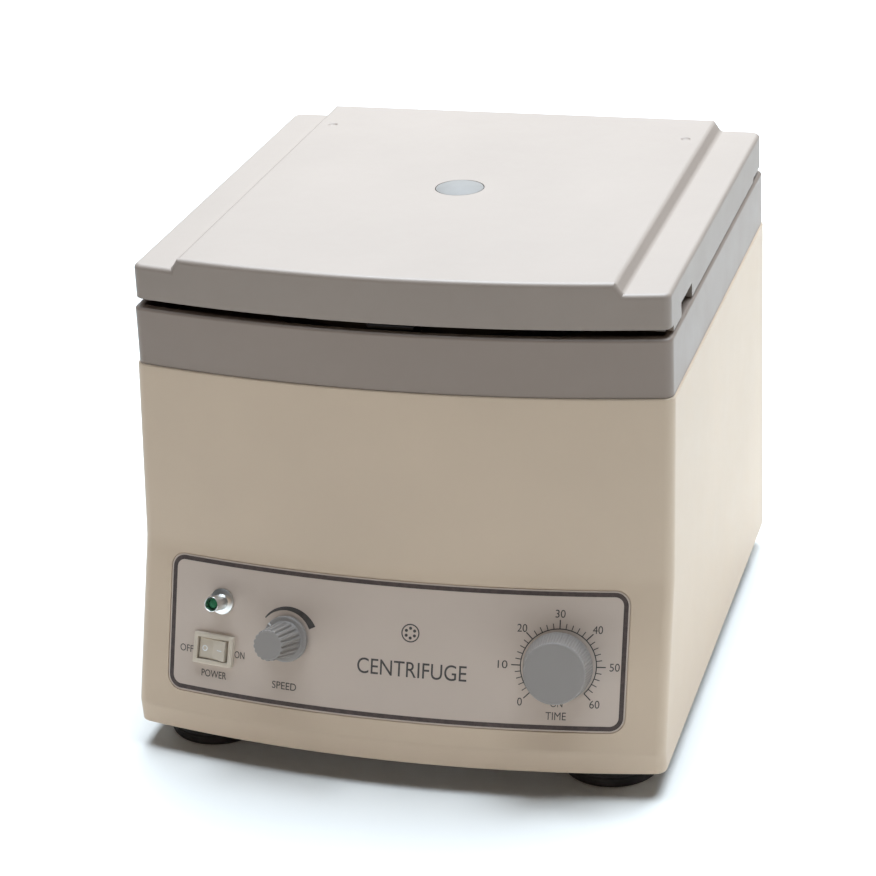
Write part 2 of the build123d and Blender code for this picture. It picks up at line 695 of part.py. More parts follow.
def board_standoffs():
    post = ring(3.0, SCREW_R, PLATE_HIGH, BOARD_Z)
    return at_each(standoff_places(), post)


def inner_screws():
    """Small screws of the circuit board and of the power inlet."""
    board = at_each(standoff_places(), Pos(0, 0, BOARD_Z + 1.6) * screw(SCREW_R, 8, 2.8, 1.6))
    inlet = at_each(INLET_HOLES, Pos(0, 0, 3) * screw(SCREW_R, 10, 2.8, 1.6))
    return board + rear_frame(*REAR_INLET).location * inlet


def heat_sink():
    sink = block(-110, -82, 34, 62, BOARD_Z + 1.6, BOARD_Z + 5)
    for n in range(6):
        x = -110 + n * 5.3
        sink += block(x, x + 1.5, 34, 62, BOARD_Z + 4, BOARD_Z + 26)
    return sink


def filter_capacitor():
    can = Pos(-74, 52, 0) * rod(7.0, BOARD_Z + 1.6, BOARD_Z + 30)
    return fillet(can.edges().group_by(Axis.Z)[-1], 1.0)


def mains_transformer():
    core = block(-108, -88, 70, 92, BOARD_Z + 1.6, BOARD_Z + 22)
    winding = block(-112, -84, 74, 88, BOARD_Z + 4, BOARD_Z + 19)
    return core + winding


def power_inlet():
    body = block(-13.5, 13.5, -9.8, 9.8, -18, 0) + block(-24.5, 24.5, -11.5, 11.5, 0, 3)
    body = body - block(-12, 12, -7.8, 7.8, -14.5, 5)
    body -= at_each(INLET_HOLES, rod(SCREW_R, -1, 5)) + pin_blocks()
    return rear_frame(*REAR_INLET).location * body


def pin_blocks():
    return Part() + [block(x - 1, x + 1, y - 2, y + 2, -22, -2.4) for x, y in ((-7, -2), (7, -2), (0, 3))]


def inlet_pins():
    return rear_frame(*REAR_INLET).location * pin_blocks()


def fuse_holder():
    body = rod(6.0, -30, 0) + rod(8.0, 0, 2.5)
    return rear_frame(*REAR_FUSE).location * (body - rod(4.5, -27, 5))


def fuse_cap():
    cap = rod(7.0, 2.5, 8.5)
    cap = fillet(cap.edges().group_by(Axis.Z)[-1], 0.8)
    cap -= block(-8, 8, -0.7, 0.7, 7.3, 10)
    return rear_frame(*REAR_FUSE).location * (cap + rod(4.5, -4, 3))


def wire(route, radius=1.6, bend=9.0):
    """Insulated lead along a route: straight runs with an arc at each corner."""
    path = FilletPolyline(*route, radius=bend)
    start = Plane(origin=path @ 0, z_dir=path % 0)
    return sweep(start * Circle(radius), path)


def inner_wiring():
    """Leads from the inlet to the switch, from the board to the motor, and to the timer."""
    mains = [(-79, 108.5, 56), (-80, 92, 62), (-104, 66, 76), (-106, -40, 76), (-99, -98, 62),
             (-94.5, -125, 48.5)]
    motor = [(-64, 60, 30), (-56, 52, 46), (-44, 30, 58), (-43.5, 12, 62)]
    timer = [(-64, 30, 28), (-70, -30, 20), (-60, -80, 22), (20, -96, 26), (66, -104, 40), (70, -112.5, 52)]
    return Part() + [wire(mains), wire(motor), wire(timer)]


NODES = {
    "housing_shell": housing_shell,
    "base_plate": base_plate,
    "rubber_feet": rubber_feet,
    "foot_bolts": foot_bolts,
    "top_deck": top_deck,
    "case_screws": case_screws,
    "chamber_bowl": chamber_bowl,
    "shaft_grommet": shaft_grommet,
    "chamber_seal": chamber_seal,
    "catch_magnet": catch_magnet,
    "hinge_base_leaves": hinge_base_leaves,
    "hinge_pins": hinge_pins,
    "hinge_base_screws": hinge_base_screws,
    "control_panel": control_panel,
    "indicator_bezel": indicator_bezel,
    "indicator_lens": indicator_lens,
    "control_nuts": control_nuts,
    "switch_frame": switch_frame,
    "switch_terminals": switch_terminals,
    "speed_potentiometer": speed_potentiometer,
    "timer_mechanism": timer_mechanism,
    "motor_plate": motor_plate,
    "vibration_dampers": vibration_dampers,
    "damper_bolts": damper_bolts,
    "motor_case": motor_case,
    "motor_lower_cap": motor_lower_cap,
    "motor_upper_cap": motor_upper_cap,
    "motor_bearings": motor_bearings,
    "motor_stator": motor_stator,
    "carbon_brushes": carbon_brushes,
    "brush_holders": brush_holders,
    "control_board": control_board,
    "board_standoffs": board_standoffs,
    "inner_screws": inner_screws,
    "heat_sink": heat_sink,
    "filter_capacitor": filter_capacitor,
    "mains_transformer": mains_transformer,
    "power_inlet": power_inlet,
    "inlet_pins": inlet_pins,
    "fuse_holder": fuse_holder,
    "fuse_cap": fuse_cap,
    "inner_wiring": inner_wiring,
    "lid_shell": lid_shell,
    "lid_liner": lid_liner,
    "lid_window": lid_window,
    "chamber_glass": chamber_glass,
    "latch_plate": latch_plate,
    "hinge_lid_leaves": hinge_lid_leaves,
    "hinge_lid_screws": hinge_lid_screws,
    "motor_shaft": motor_shaft,
    "motor_armature": motor_armature,
    "motor_commutator": motor_commutator,
    "rotor_head": rotor_head,
    "tube_sleeves": tube_sleeves,
    "rotor_nut": rotor_nut,
    "switch_rocker": switch_rocker,
    "speed_shaft": speed_shaft,
    "speed_knob": speed_knob,
    "timer_shaft": timer_shaft,
    "timer_knob": timer_knob,
}

os.makedirs("parts", exist_ok=True)
for name, make in NODES.items():
    export_step(make(), "parts/" + name + ".step")
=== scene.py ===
"""Looks of the tabletop laboratory centrifuge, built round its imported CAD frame."""
import json
import math

import bmesh
import bpy
from mathutils import Matrix, Vector


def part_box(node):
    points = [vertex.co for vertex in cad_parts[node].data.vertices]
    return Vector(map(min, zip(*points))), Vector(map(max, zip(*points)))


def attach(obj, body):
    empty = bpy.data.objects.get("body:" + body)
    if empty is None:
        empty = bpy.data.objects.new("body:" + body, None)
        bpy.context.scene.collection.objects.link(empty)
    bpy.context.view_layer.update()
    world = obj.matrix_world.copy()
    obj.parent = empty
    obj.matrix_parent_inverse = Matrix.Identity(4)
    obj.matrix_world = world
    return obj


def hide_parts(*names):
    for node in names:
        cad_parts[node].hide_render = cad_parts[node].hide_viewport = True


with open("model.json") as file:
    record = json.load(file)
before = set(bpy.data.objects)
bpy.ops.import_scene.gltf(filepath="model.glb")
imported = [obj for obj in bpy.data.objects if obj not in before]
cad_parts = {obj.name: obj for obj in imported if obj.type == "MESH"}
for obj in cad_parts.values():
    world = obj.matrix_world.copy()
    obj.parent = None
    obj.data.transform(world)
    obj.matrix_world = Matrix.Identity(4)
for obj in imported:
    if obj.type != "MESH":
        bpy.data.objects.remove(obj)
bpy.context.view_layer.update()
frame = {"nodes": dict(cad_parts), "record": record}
MM = 0.001

# ---- shared sizes, in millimetres, read from the frame or repeated from the design ---------------
housing_low, housing_high = (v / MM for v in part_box("housing_shell"))
deck_low, deck_high = (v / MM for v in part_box("top_deck"))
lid_low, lid_high = (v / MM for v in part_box("lid_shell"))
feet_low, feet_high = (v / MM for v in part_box("rubber_feet"))
PLATE_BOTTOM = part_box("base_plate")[0].z / MM

HALF = housing_high.x
BACK = deck_high.y
BOW = 14.0                      # forward bulge of every front
CORNER = 6.0                    # vertical corner radius
WALL = 3.0
BOTTOM_Z = housing_low.z
HOUSING_TOP = housing_high.z
DECK_TOP = deck_high.z
CHIN_Z = 23.5
BEND_Z = 99.5
BEND_SOFT = 3.5
FRONT_TOP = deck_low.y + BOW
FRONT_CHIN = housing_low.y + BOW
FRONT_BEND = -126.7
FRONT_BOTTOM = FRONT_CHIN + 1.5
BOW_R = (HALF ** 2 + BOW ** 2) / (2 * BOW)
SLOPE = (FRONT_BEND - FRONT_CHIN) / (BEND_Z - CHIN_Z)
TILT = math.atan(SLOPE)

PANEL_X = -1.2
PANEL_Z = 64.4
PANEL_W = 225.0
PANEL_H = 66.0
PANEL_R = 7.0
PANEL_RECESS = 0.8
PANEL_FACE = -0.2               # the label's face, measured from the housing's surface
INK = 0.06                      # thickness of the printed ink

LAMP = (-86.0, 76.8)
SWITCH = (-89.2, 54.3)
SPEED = (-51.5, 64.5)
TIMER = (79.8, 62.0)
LAMP_HOLE_R = 3.2
SPEED_HOLE_R = 4.1
TIMER_HOLE_R = 5.1
SWITCH_HOLE = (9.6, 6.6)        # half sizes
HOLE_DEPTH = 8.0                # how far a cutting tool reaches in, and past the surface
HOLE_PAST = 4.0

INLET_HOLE = (13.6, 9.9)        # half sizes
FUSE_HOLE_R = 6.05
VENT_X = 60.0
VENT_LOW_Z = 51.75
VENT_PITCH = 9.0
VENT_ROWS = 6
VENT_SIZE = (70.0, 3.5)
VENT_CORNER = 1.7

LID_HALF = lid_high.x
LID_BACK = lid_high.y
LID_FRONT = lid_low.y + BOW
LID_SKIRT_Z = lid_low.z
LID_LIP_Z = 220.2
LID_FLANGE_Z = 237.0
LID_CORNER = 5.0
DECK_INSET = 0.8                # the deck sits this far inside the housing's edge
LID_TOP_Z = lid_high.z
PLATFORM_BASE = 107.6
PLATFORM_TOP = 104.0
DECK_RIM = 5.5
DECK_FLOOR = 199.0
BOWL_R = 98.0
LID_LIP_DEPTH = 7.0             # how far back the finger gap under the front reaches
LID_REAR_CLEAR = (104.0, 2.0)   # the rear wall is lifted behind this y, by this much
NOTCH_Y = (-92.0, -66.0)        # the notch low in each side of the lid
NOTCH_TOP = 224.0
NOTCH_DEPTH = 6.0
DIMPLE = (95.3, 93.5)           # x and y of the two small marks near the hinges
WINDOW_HOLE_R = 12.2
CLEAR = 140.0                   # cutting tools reach this far, past every side of the lid
FOOT_R = 23.5


# ---- mesh helpers --------------------------------------------------------------------------------
def add(name, bm):
    """Makes an object of a bmesh whose points are in millimetres."""
    bmesh.ops.scale(bm, vec=(MM, MM, MM), verts=bm.verts)
    bmesh.ops.recalc_face_normals(bm, faces=bm.faces)
    mesh = bpy.data.meshes.new(name)
    bm.to_mesh(mesh)
    bm.free()
    obj = bpy.data.objects.new(name, mesh)
    bpy.context.scene.collection.objects.link(obj)
    return obj


def loft(rings, caps=True, closed=False):
    """bmesh of a skin through rings of points.

    caps closes its ends; closed joins the last ring to the first instead.
    """
    bm = bmesh.new()
    made = [[bm.verts.new(p) for p in ring] for ring in rings]
    pairs = list(zip(made, made[1:]))
    if closed:
        pairs.append((made[-1], made[0]))
    for a, b in pairs:
        for i in range(len(a)):
            j = (i + 1) % len(a)
            bm.faces.new((a[i], a[j], b[j], b[i]))
    if caps and not closed:
        bm.faces.new(list(reversed(made[0])))
        bm.faces.new(made[-1])
    return bm


def prism(outline, low, high):
    return loft([[(x, y, low) for x, y in outline], [(x, y, high) for x, y in outline]])


def lathe(profile, steps=96, closed=False, reach=lambda radius, height, turn: radius):
    """bmesh of a profile of (radius, height) turned about Z; points on the axis become poles.

    reach(radius, height, turn) gives the radius at each angle, for flutes.
    """
    bm = bmesh.new()
    rows = []
    for radius, height in profile:
        if radius < 1e-6:
            rows.append([bm.verts.new((0, 0, height))])
            continue
        row = []
        for k in range(steps):
            a = 2 * math.pi * k / steps
            r = reach(radius, height, a)
            row.append(bm.verts.new((r * math.cos(a), r * math.sin(a), height)))
        rows.append(row)
    pairs = list(zip(rows, rows[1:]))
    if closed:
        pairs.append((rows[-1], rows[0]))
    for a, b in pairs:
        for k in range(steps):
            j = (k + 1) % steps
            corners = [a[k % len(a)], a[j % len(a)], b[j % len(b)], b[k % len(b)]]
            corners = [v for i, v in enumerate(corners) if v not in corners[:i]]
            if len(corners) > 2:
                bm.faces.new(corners)
    return bm


def box_bm(x0, x1, y0, y1, z0, z1):
    return prism([(x0, y0), (x1, y0), (x1, y1), (x0, y1)], z0, z1)


def circle(radius, steps=64, centre=(0.0, 0.0)):
    turn = [2 * math.pi * k / steps for k in range(steps)]
    return [(centre[0] + radius * math.cos(a), centre[1] + radius * math.sin(a)) for a in turn]


def rounded(width, height, corner, centre=(0.0, 0.0), steps=10):
    """Outline of a rounded rectangle."""
    points = []
    for sx, sy, start in ((1, 1, 0), (-1, 1, 90), (-1, -1, 180), (1, -1, 270)):
        cx = centre[0] + sx * (width / 2 - corner)
        cy = centre[1] + sy * (height / 2 - corner)
        for k in range(steps + 1):
            a = math.radians(start + 90 * k / steps)
            points.append((cx + corner * math.cos(a), cy + corner * math.sin(a)))
    return points


def evened(outlines, most):
    """Matching outlines with points added on their long sides, so that no side of the first is over most."""
    first = outlines[0]
    count = [max(1, math.ceil(math.dist(a, b) / most)) for a, b in zip(first, first[1:] + first[:1])]
    return [[(x0 + (x1 - x0) * k / n, y0 + (y1 - y0) * k / n)
             for (x0, y0), (x1, y1), n in zip(points, points[1:] + points[:1], count) for k in range(n)]
            for points in outlines]


def apply(obj):
    """Replaces the object's mesh by its evaluated one and drops the modifiers."""
    bpy.context.view_layer.update()
    graph = bpy.context.evaluated_depsgraph_get()
    mesh = bpy.data.meshes.new_from_object(obj.evaluated_get(graph))
    obj.modifiers.clear()
    old, name = obj.data, obj.data.name
    obj.data = mesh
    bpy.data.meshes.remove(old)
    mesh.name = name


def boolean(obj, tools, operation="DIFFERENCE"):
    """Cuts, joins or intersects obj with tool objects, which are then deleted."""
    for tool in tools:
        mod = obj.modifiers.new("cut", "BOOLEAN")
        mod.operation = operation
        mod.solver = "EXACT"
        mod.object = tool
    apply(obj)
    for tool in tools:
        mesh = tool.data
        bpy.data.objects.remove(tool)
        bpy.data.meshes.remove(mesh)


def cut(obj, *shapes):
    boolean(obj, [add("tool", bm) for bm in shapes])


def bevel(obj, pick, width, segments=4, clamp=True):
    """Rounds the edges that pick(edge) chooses."""
    bm = bmesh.new()
    bm.from_mesh(obj.data)
    bm.normal_update()
    edges = [e for e in bm.edges if len(e.link_faces) == 2 and pick(e)]
    bmesh.ops.bevel(bm, geom=edges, offset=width * MM, segments=segments, profile=0.5, affect="EDGES",
                    clamp_overlap=clamp, miter_outer="ARC")
    bm.to_mesh(obj.data)
    bm.free()


def is_sharp(edge, degrees=30):
    return edge.calc_face_angle(0) > math.radians(degrees)


def middle(edge):
    return (edge.verts[0].co + edge.verts[1].co) / 2 / MM


def shade(obj, degrees=35):
    """Smooth shading with hard edges above an angle, and flat faces kept flat."""
    obj.data.shade_smooth()
    obj.data.set_sharp_from_angle(angle=math.radians(degrees))
    mod = obj.modifiers.new("normals", "WEIGHTED_NORMAL")
    mod.keep_sharp = True
    mod.weight = 60
    apply(obj)


def join(name, parts):
    """One object from several."""
    bm = bmesh.new()
    for part in parts:
        bm.from_mesh(part.data)
        mesh = part.data
        bpy.data.objects.remove(part)
        bpy.data.meshes.remove(mesh)
    mesh = bpy.data.meshes.new(name)
    bm.to_mesh(mesh)
    bm.free()
    obj = bpy.data.objects.new(name, mesh)
    bpy.context.scene.collection.objects.link(obj)
    return obj


def place(obj, matrix):
    """Moves an object's points by a matrix whose shift is in millimetres."""
    moved = matrix.copy()
    moved.translation = matrix.translation * MM
    obj.data.transform(moved)
    return obj


# ---- the machine's outlines ----------------------------------------------------------------------
def front_at(z):
    """Front corner line at height z."""
    upper = (FRONT_TOP - FRONT_BEND) / (HOUSING_TOP - BEND_Z)
    chin = (FRONT_CHIN - FRONT_BOTTOM) / (CHIN_Z - BOTTOM_Z)
    if z < CHIN_Z:
        return FRONT_CHIN + chin * (z - CHIN_Z)
    if z < BEND_Z - BEND_SOFT:
        return FRONT_BEND + SLOPE * (z - BEND_Z)
    if z > BEND_Z + BEND_SOFT:
        return FRONT_BEND + upper * (z - BEND_Z)
    start = z - BEND_Z + BEND_SOFT
    return FRONT_BEND - SLOPE * BEND_SOFT + SLOPE * start + (upper - SLOPE) * start ** 2 / (4 * BEND_SOFT)


def plan(front, inset=0.0, half=HALF, back=BACK, corner=CORNER, bow=BOW, arc=64, turn=12):
    """Plan outline: bowed front with rounded corners, straight sides and back."""
    half, back, front, corner = half - inset, back - inset, front + inset, max(corner - inset, 0.5)
    radius = (half ** 2 + bow ** 2) / (2 * bow)
    centre_y = front - bow + radius
    corner_x = half - corner
    corner_y = centre_y - math.sqrt((radius - corner) ** 2 - corner_x ** 2)
    lean = math.asin(corner_x / (radius - corner))
    points = []
    for k in range(arc + 1):
        a = -lean + 2 * lean * k / arc
        points.append((radius * math.sin(a), centre_y - radius * math.cos(a)))
    for k in range(1, turn + 1):
        a = -math.pi / 2 + lean + (math.pi / 2 - lean) * k / turn
        points.append((corner_x + corner * math.cos(a), corner_y + corner * math.sin(a)))
    for side, start in ((1, 0), (-1, 90)):
        for k in range(turn + 1):
            a = math.radians(start + 90 * k / turn)
            points.append((side * corner_x + corner * math.cos(a), back - corner + corner * math.sin(a)))
    for k in range(turn):
        a = math.pi + (math.pi / 2 - lean) * k / turn
        points.append((-corner_x + corner * math.cos(a), corner_y + corner * math.sin(a)))
    return points


def panel_point(u, v, h):
    """Point on the flared front: u to the right, v up the slope from the label's middle, h out of it."""
    across = math.sqrt(BOW_R ** 2 - u ** 2)
    z = PANEL_Z + v * math.cos(TILT)
    y = FRONT_BEND + SLOPE * (z - BEND_Z) - BOW + BOW_R - across
    normal = Vector((u / across, -1, SLOPE)).normalized()
    return Vector((u, y, z)) + h * normal


def panel_frame(x, z):
    """Matrix on the flared front at (x, z): its z out of the panel, its x to the right."""
    across = math.sqrt(BOW_R ** 2 - x ** 2)
    out = Vector((x / across, -1, SLOPE)).normalized()
    right = Vector((1, x / across, 0)).normalized()
    up = out.cross(right)
    matrix = Matrix((right, up, out)).transposed().to_4x4()
    matrix.translation = panel_point(x, (z - PANEL_Z) / math.cos(TILT), 0)
    return matrix


def to_panel(bm, h=0.0):
    """Bends a flat bmesh, drawn in label coordinates, on to the flared front."""
    for v in bm.verts:
        v.co = panel_point(v.co.x, v.co.y, v.co.z + h)
    return bm


def slice_up(bm, step, low, high, axis):
    """Adds lines across a flat bmesh so that it can bend."""
    normal = Vector((1, 0, 0)) if axis == 0 else Vector((0, 1, 0))
    for k in range(int((high - low) / step) + 1):
        at = normal * (low + k * step + 0.013)
        geom = bm.verts[:] + bm.edges[:] + bm.faces[:]
        bmesh.ops.bisect_plane(bm, geom=geom, plane_co=at, plane_no=normal)
    return bm


def label_slab(outline, low, high, step=4.0):
    """A thick sheet with a flat outline, bent on to the flared front."""
    bm = prism(outline, low, high)
    slice_up(bm, step, -116, 116, 0)
    slice_up(bm, 16.0, -40, 40, 1)
    return to_panel(bm)


# ---- materials -----------------------------------------------------------------------------------
def material(name, base, roughness=0.4, metallic=0.0, **sockets):
    """Principled material with its constants set on the shader; returns it with its nodes."""
    mat = bpy.data.materials.new(name)
    mat.use_nodes = True
    shader = mat.node_tree.nodes["Principled BSDF"]
    shader.inputs["Base Color"].default_value = (*base, 1)
    shader.inputs["Roughness"].default_value = roughness
    shader.inputs["Metallic"].default_value = metallic
    for key, value in sockets.items():
        shader.inputs[key.replace("_", " ").title().replace("Ior", "IOR")].default_value = value
    return mat, mat.node_tree, shader


def node(tree, kind, **values):
    made = tree.nodes.new(kind)
    for key, value in values.items():
        if hasattr(made, key):
            setattr(made, key, value)
        else:
            made.inputs[key.replace("_", " ").title()].default_value = value
    return made


def coords(tree, scale=(1, 1, 1)):
    """Object coordinates, stretched by scale."""
    source = tree.nodes.new("ShaderNodeTexCoord")
    mapping = node(tree, "ShaderNodeMapping")
    mapping.inputs["Scale"].default_value = scale
    tree.links.new(source.outputs["Object"], mapping.inputs["Vector"])
    return mapping.outputs["Vector"]


def noise(tree, vector, scale, detail=4.0, rough=0.55):
    made = tree.nodes.new("ShaderNodeTexNoise")
    made.inputs["Scale"].default_value = scale
    made.inputs["Detail"].default_value = detail
    made.inputs["Roughness"].default_value = rough
    tree.links.new(vector, made.inputs["Vector"])
    return made.outputs["Fac"]


def ramp(tree, fac, stops):
    """Colour ramp of (position, colour) stops."""
    made = tree.nodes.new("ShaderNodeValToRGB")
    tree.links.new(fac, made.inputs["Fac"])
    elements = made.color_ramp.elements
    while len(elements) < len(stops):
        elements.new(0.5)
    for element, (position, colour) in zip(elements, stops):
        element.position = position
        element.color = (*colour, 1)
    return made.outputs["Color"]


def spread(tree, fac, low, high):
    """Maps 0..1 to low..high."""
    made = tree.nodes.new("ShaderNodeMapRange")
    made.inputs["To Min"].default_value = low
    made.inputs["To Max"].default_value = high
    tree.links.new(fac, made.inputs["Value"])
    return made.outputs["Result"]


def bump(tree, shader, height, distance, strength, below=None):
    """Relief of a given depth in metres; below is the normal of a coarser relief under it."""
    made = tree.nodes.new("ShaderNodeBump")
    made.inputs["Strength"].default_value = strength
    made.inputs["Distance"].default_value = distance
    tree.links.new(height, made.inputs["Height"])
    if below is not None:
        tree.links.new(below, made.inputs["Normal"])
    tree.links.new(made.outputs["Normal"], shader.inputs["Normal"])
    return made.outputs["Normal"]


def shades(base, amount):
    """A darker and a lighter neighbour of a colour."""
    return tuple(c * (1 - amount) for c in base), tuple(min(c * (1 + amount), 1) for c in base)


def cloud(tree, vector, scale, detail, stops, shader, rough=0.55):
    """Base colour that drifts between two colours; stops are (position, colour)."""
    tree.links.new(ramp(tree, noise(tree, vector, scale, detail, rough), stops), shader.inputs["Base Color"])


def moulded(name, base, roughness=0.42, grain=1400.0, depth=0.00004, mottle=0.035):
    """Moulded plastic: fine spark-eroded grain, faint cloudiness, dust dulled patches."""
    mat, tree, shader = material(name, base, roughness, specular_ior_level=0.42)
    place_at = coords(tree)
    dark, light = shades(base, mottle)
    cloud(tree, place_at, 9.0, 5.0, [(0.3, dark), (0.7, light)], shader)
    patches = noise(tree, place_at, 38.0, 6.0, 0.7)
    tree.links.new(spread(tree, patches, roughness - 0.07, roughness + 0.09), shader.inputs["Roughness"])
    waves = bump(tree, shader, noise(tree, place_at, 22.0, 2.0), 0.0004, 0.12)
    bump(tree, shader, noise(tree, place_at, grain, 3.0, 0.6), depth, 0.5, waves)
    return mat


def film(name, base):
    """Printed polycarbonate film: smoother than the housing, with a faint sand-blasted grain."""
    mat, tree, shader = material(name, base, 0.36, specular_ior_level=0.5, coat_weight=0.12,
                                 coat_roughness=0.35)
    place_at = coords(tree)
    dark, light = shades(base, 0.03)
    cloud(tree, place_at, 14.0, 4.0, [(0.3, dark), (0.7, light)], shader)
    tree.links.new(spread(tree, noise(tree, place_at, 60.0, 5.0), 0.3, 0.44), shader.inputs["Roughness"])
    bump(tree, shader, noise(tree, place_at, 2600.0, 2.0), 0.00002, 0.5)
    return mat


def ink(name, base):
    """Screen-printed ink with slightly uneven cover."""
    mat, tree, shader = material(name, base, 0.5)
    place_at = coords(tree)
    dark, light = shades(base, 0.25)
    cloud(tree, place_at, 420.0, 4.0, [(0.35, dark), (0.75, light)], shader)
    bump(tree, shader, noise(tree, place_at, 3000.0, 2.0), 0.00001, 0.5)
    return mat


def rubber(name, base):
    mat, tree, shader = material(name, base, 0.78, specular_ior_level=0.3)
    place_at = coords(tree)
    dust = tuple(min(c * 2.4 + 0.015, 1) for c in base)
    cloud(tree, place_at, 70.0, 6.0, [(0.45, base), (0.85, dust)], shader, 0.7)
    tree.links.new(spread(tree, noise(tree, place_at, 160.0, 4.0), 0.65, 0.9), shader.inputs["Roughness"])
    bump(tree, shader, noise(tree, place_at, 1800.0, 3.0), 0.00006, 0.6)
    return mat


def metal(name, base, roughness, stretch=(1, 1, 1), scale=400.0, depth=0.00002, wear=0.08):
    """Bare or plated metal with drawn or tumbled marks; stretch sets their direction."""
    mat, tree, shader = material(name, base, roughness, 1.0)
    lines = noise(tree, coords(tree, stretch), scale, 4.0, 0.65)
    dark, light = shades(base, 0.09)
    cloud(tree, coords(tree), 45.0, 5.0, [(0.3, dark), (0.75, light)], shader)
    gloss = spread(tree, lines, max(roughness - wear, 0.04), roughness + wear)
    tree.links.new(gloss, shader.inputs["Roughness"])
    bump(tree, shader, lines, depth, 0.6)
    return mat


def turned(name, base, roughness, pitch, depth):
    """Turned or spun metal: rings about the rotor's axis."""
    mat, tree, shader = material(name, base, roughness, 1.0)
    source = tree.nodes.new("ShaderNodeTexCoord")
    flat = node(tree, "ShaderNodeVectorMath", operation="MULTIPLY")
    flat.inputs[1].default_value = (1, 1, 0)
    tree.links.new(source.outputs["Object"], flat.inputs[0])
    reach = node(tree, "ShaderNodeVectorMath", operation="LENGTH")
    tree.links.new(flat.outputs["Vector"], reach.inputs[0])
    split = tree.nodes.new("ShaderNodeSeparateXYZ")
    tree.links.new(source.outputs["Object"], split.inputs[0])
    along = node(tree, "ShaderNodeMath", operation="ADD")
    tree.links.new(reach.outputs["Value"], along.inputs[0])
    tree.links.new(split.outputs["Z"], along.inputs[1])
    join_up = tree.nodes.new("ShaderNodeCombineXYZ")
    tree.links.new(along.outputs["Value"], join_up.inputs["X"])
    rings = noise(tree, join_up.outputs["Vector"], 1 / (pitch * MM), 3.0, 0.7)
    dark, light = shades(base, 0.1)
    cloud(tree, coords(tree), 18.0, 5.0, [(0.3, dark), (0.75, light)], shader)
    tree.links.new(spread(tree, rings, roughness - 0.09, roughness + 0.12), shader.inputs["Roughness"])
    bump(tree, shader, rings, depth, 0.7)
    return mat


def clear(name, tint, roughness=0.03):
    mat, tree, shader = material(name, tint, roughness, transmission_weight=1.0, ior=1.49)
    place_at = coords(tree)
    patches = noise(tree, place_at, 90.0, 4.0)
    tree.links.new(spread(tree, patches, roughness, roughness + 0.08), shader.inputs["Roughness"])
    bump(tree, shader, noise(tree, place_at, 120.0, 2.0), 0.00003, 0.3)
    return mat


def milky(name, tint):
    """Translucent moulded acrylic: some light goes through, some scatters back."""
    mat, tree, shader = material(name, tint, 0.5, transmission_weight=0.1, specular_ior_level=0.2)
    place_at = coords(tree)
    dark, light = shades(tint, 0.04)
    cloud(tree, place_at, 160.0, 4.0, [(0.3, dark), (0.7, light)], shader)
    tree.links.new(spread(tree, noise(tree, place_at, 220.0), 0.45, 0.6), shader.inputs["Roughness"])
    return mat


LID_GREY = (0.315, 0.257, 0.216)
CREAM = (0.64, 0.5, 0.37)
MATERIALS = {
    "lid_grey": moulded("lid_plastic", LID_GREY, 0.45),
    "deck_grey": moulded("deck_plastic", (0.288, 0.227, 0.187), 0.42),
    "housing_cream": moulded("housing_plastic", CREAM, 0.46, 1200.0),
    # The white liner is drawn dark brown: painted shade, so that the gap under the lid's front reads dark.
    "liner_white": moulded("liner_painted_shade", (0.16, 0.135, 0.12), 0.45),
    "panel_grey": film("label_film", (0.59, 0.485, 0.41)),
    "panel_ink": ink("border_ink", (0.075, 0.052, 0.046)),
    "text_ink": ink("letter_ink", (0.07, 0.062, 0.058)),
    "white_ink": ink("pointer_ink", (0.85, 0.85, 0.83)),
    "knob_grey": moulded("knob_plastic", (0.3, 0.273, 0.253), 0.38, 1800.0, 0.00003),
    "switch_cream": moulded("switch_plastic", (0.66, 0.57, 0.46), 0.3, 2400.0, 0.00001, 0.02),
    "mark_ink": ink("rocker_mark", (0.98, 0.98, 0.96)),
    "black_plastic": moulded("black_plastic", (0.018, 0.018, 0.02), 0.42, 1600.0),
    "rubber_black": rubber("foot_rubber", (0.017, 0.014, 0.013)),
    "seal_rubber": rubber("seal_rubber", (0.05, 0.05, 0.052)),
    "steel": metal("drawn_steel", (0.56, 0.57, 0.58), 0.32, (0.05, 1, 1), 900.0),
    "zinc_steel": metal("zinc_plate", (0.6, 0.61, 0.62), 0.38, (1, 1, 1), 260.0),
    "blackened_steel": metal("blackened_steel", (0.07, 0.07, 0.075), 0.45, (1, 1, 1), 260.0),
    "chrome_trim": metal("satin_nickel", (0.78, 0.78, 0.76), 0.34, (1, 1, 1), 300.0, 0.000004, 0.06),
    "bowl_aluminium": turned("spun_aluminium", (0.78, 0.79, 0.8), 0.3, 0.9, 0.00003),
    "rotor_aluminium": turned("turned_aluminium", (0.74, 0.75, 0.76), 0.24, 0.35, 0.00002),
    "sleeve_plastic": moulded("sleeve_plastic", (0.78, 0.79, 0.77), 0.35, 1800.0, 0.00002),
    "clear_window": clear("window_acrylic", (0.95, 0.975, 0.97)),
    "window_cap": milky("window_cap", (0.26, 0.24, 0.22)),
    "lamp_green": milky("lamp_lens", (0.04, 0.26, 0.12)),
    "motor_paint": moulded("motor_paint", (0.05, 0.055, 0.06), 0.35, 900.0),
    "copper_core": metal("lacquered_copper", (0.6, 0.3, 0.16), 0.35, (1, 1, 0.1), 700.0, 0.00004),
    "board_green": film("board_mask", (0.03, 0.16, 0.07)),
    "brass": metal("plated_brass", (0.68, 0.52, 0.26), 0.3),
    "carbon": rubber("brush_carbon", (0.03, 0.03, 0.032)),
    "wire_blue": moulded("wire_sleeve", (0.05, 0.1, 0.32), 0.4, 900.0),
    "capacitor_sleeve": moulded("capacitor_sleeve", (0.04, 0.05, 0.14), 0.3, 900.0),
}


def dress(obj, slot, key=None):
    """Gives an object one material: the one under key, or else the one for the record's slot that it stands
    for.
    """
    obj.data.materials.clear()
    obj.data.materials.append(MATERIALS[key or slot])
    return obj


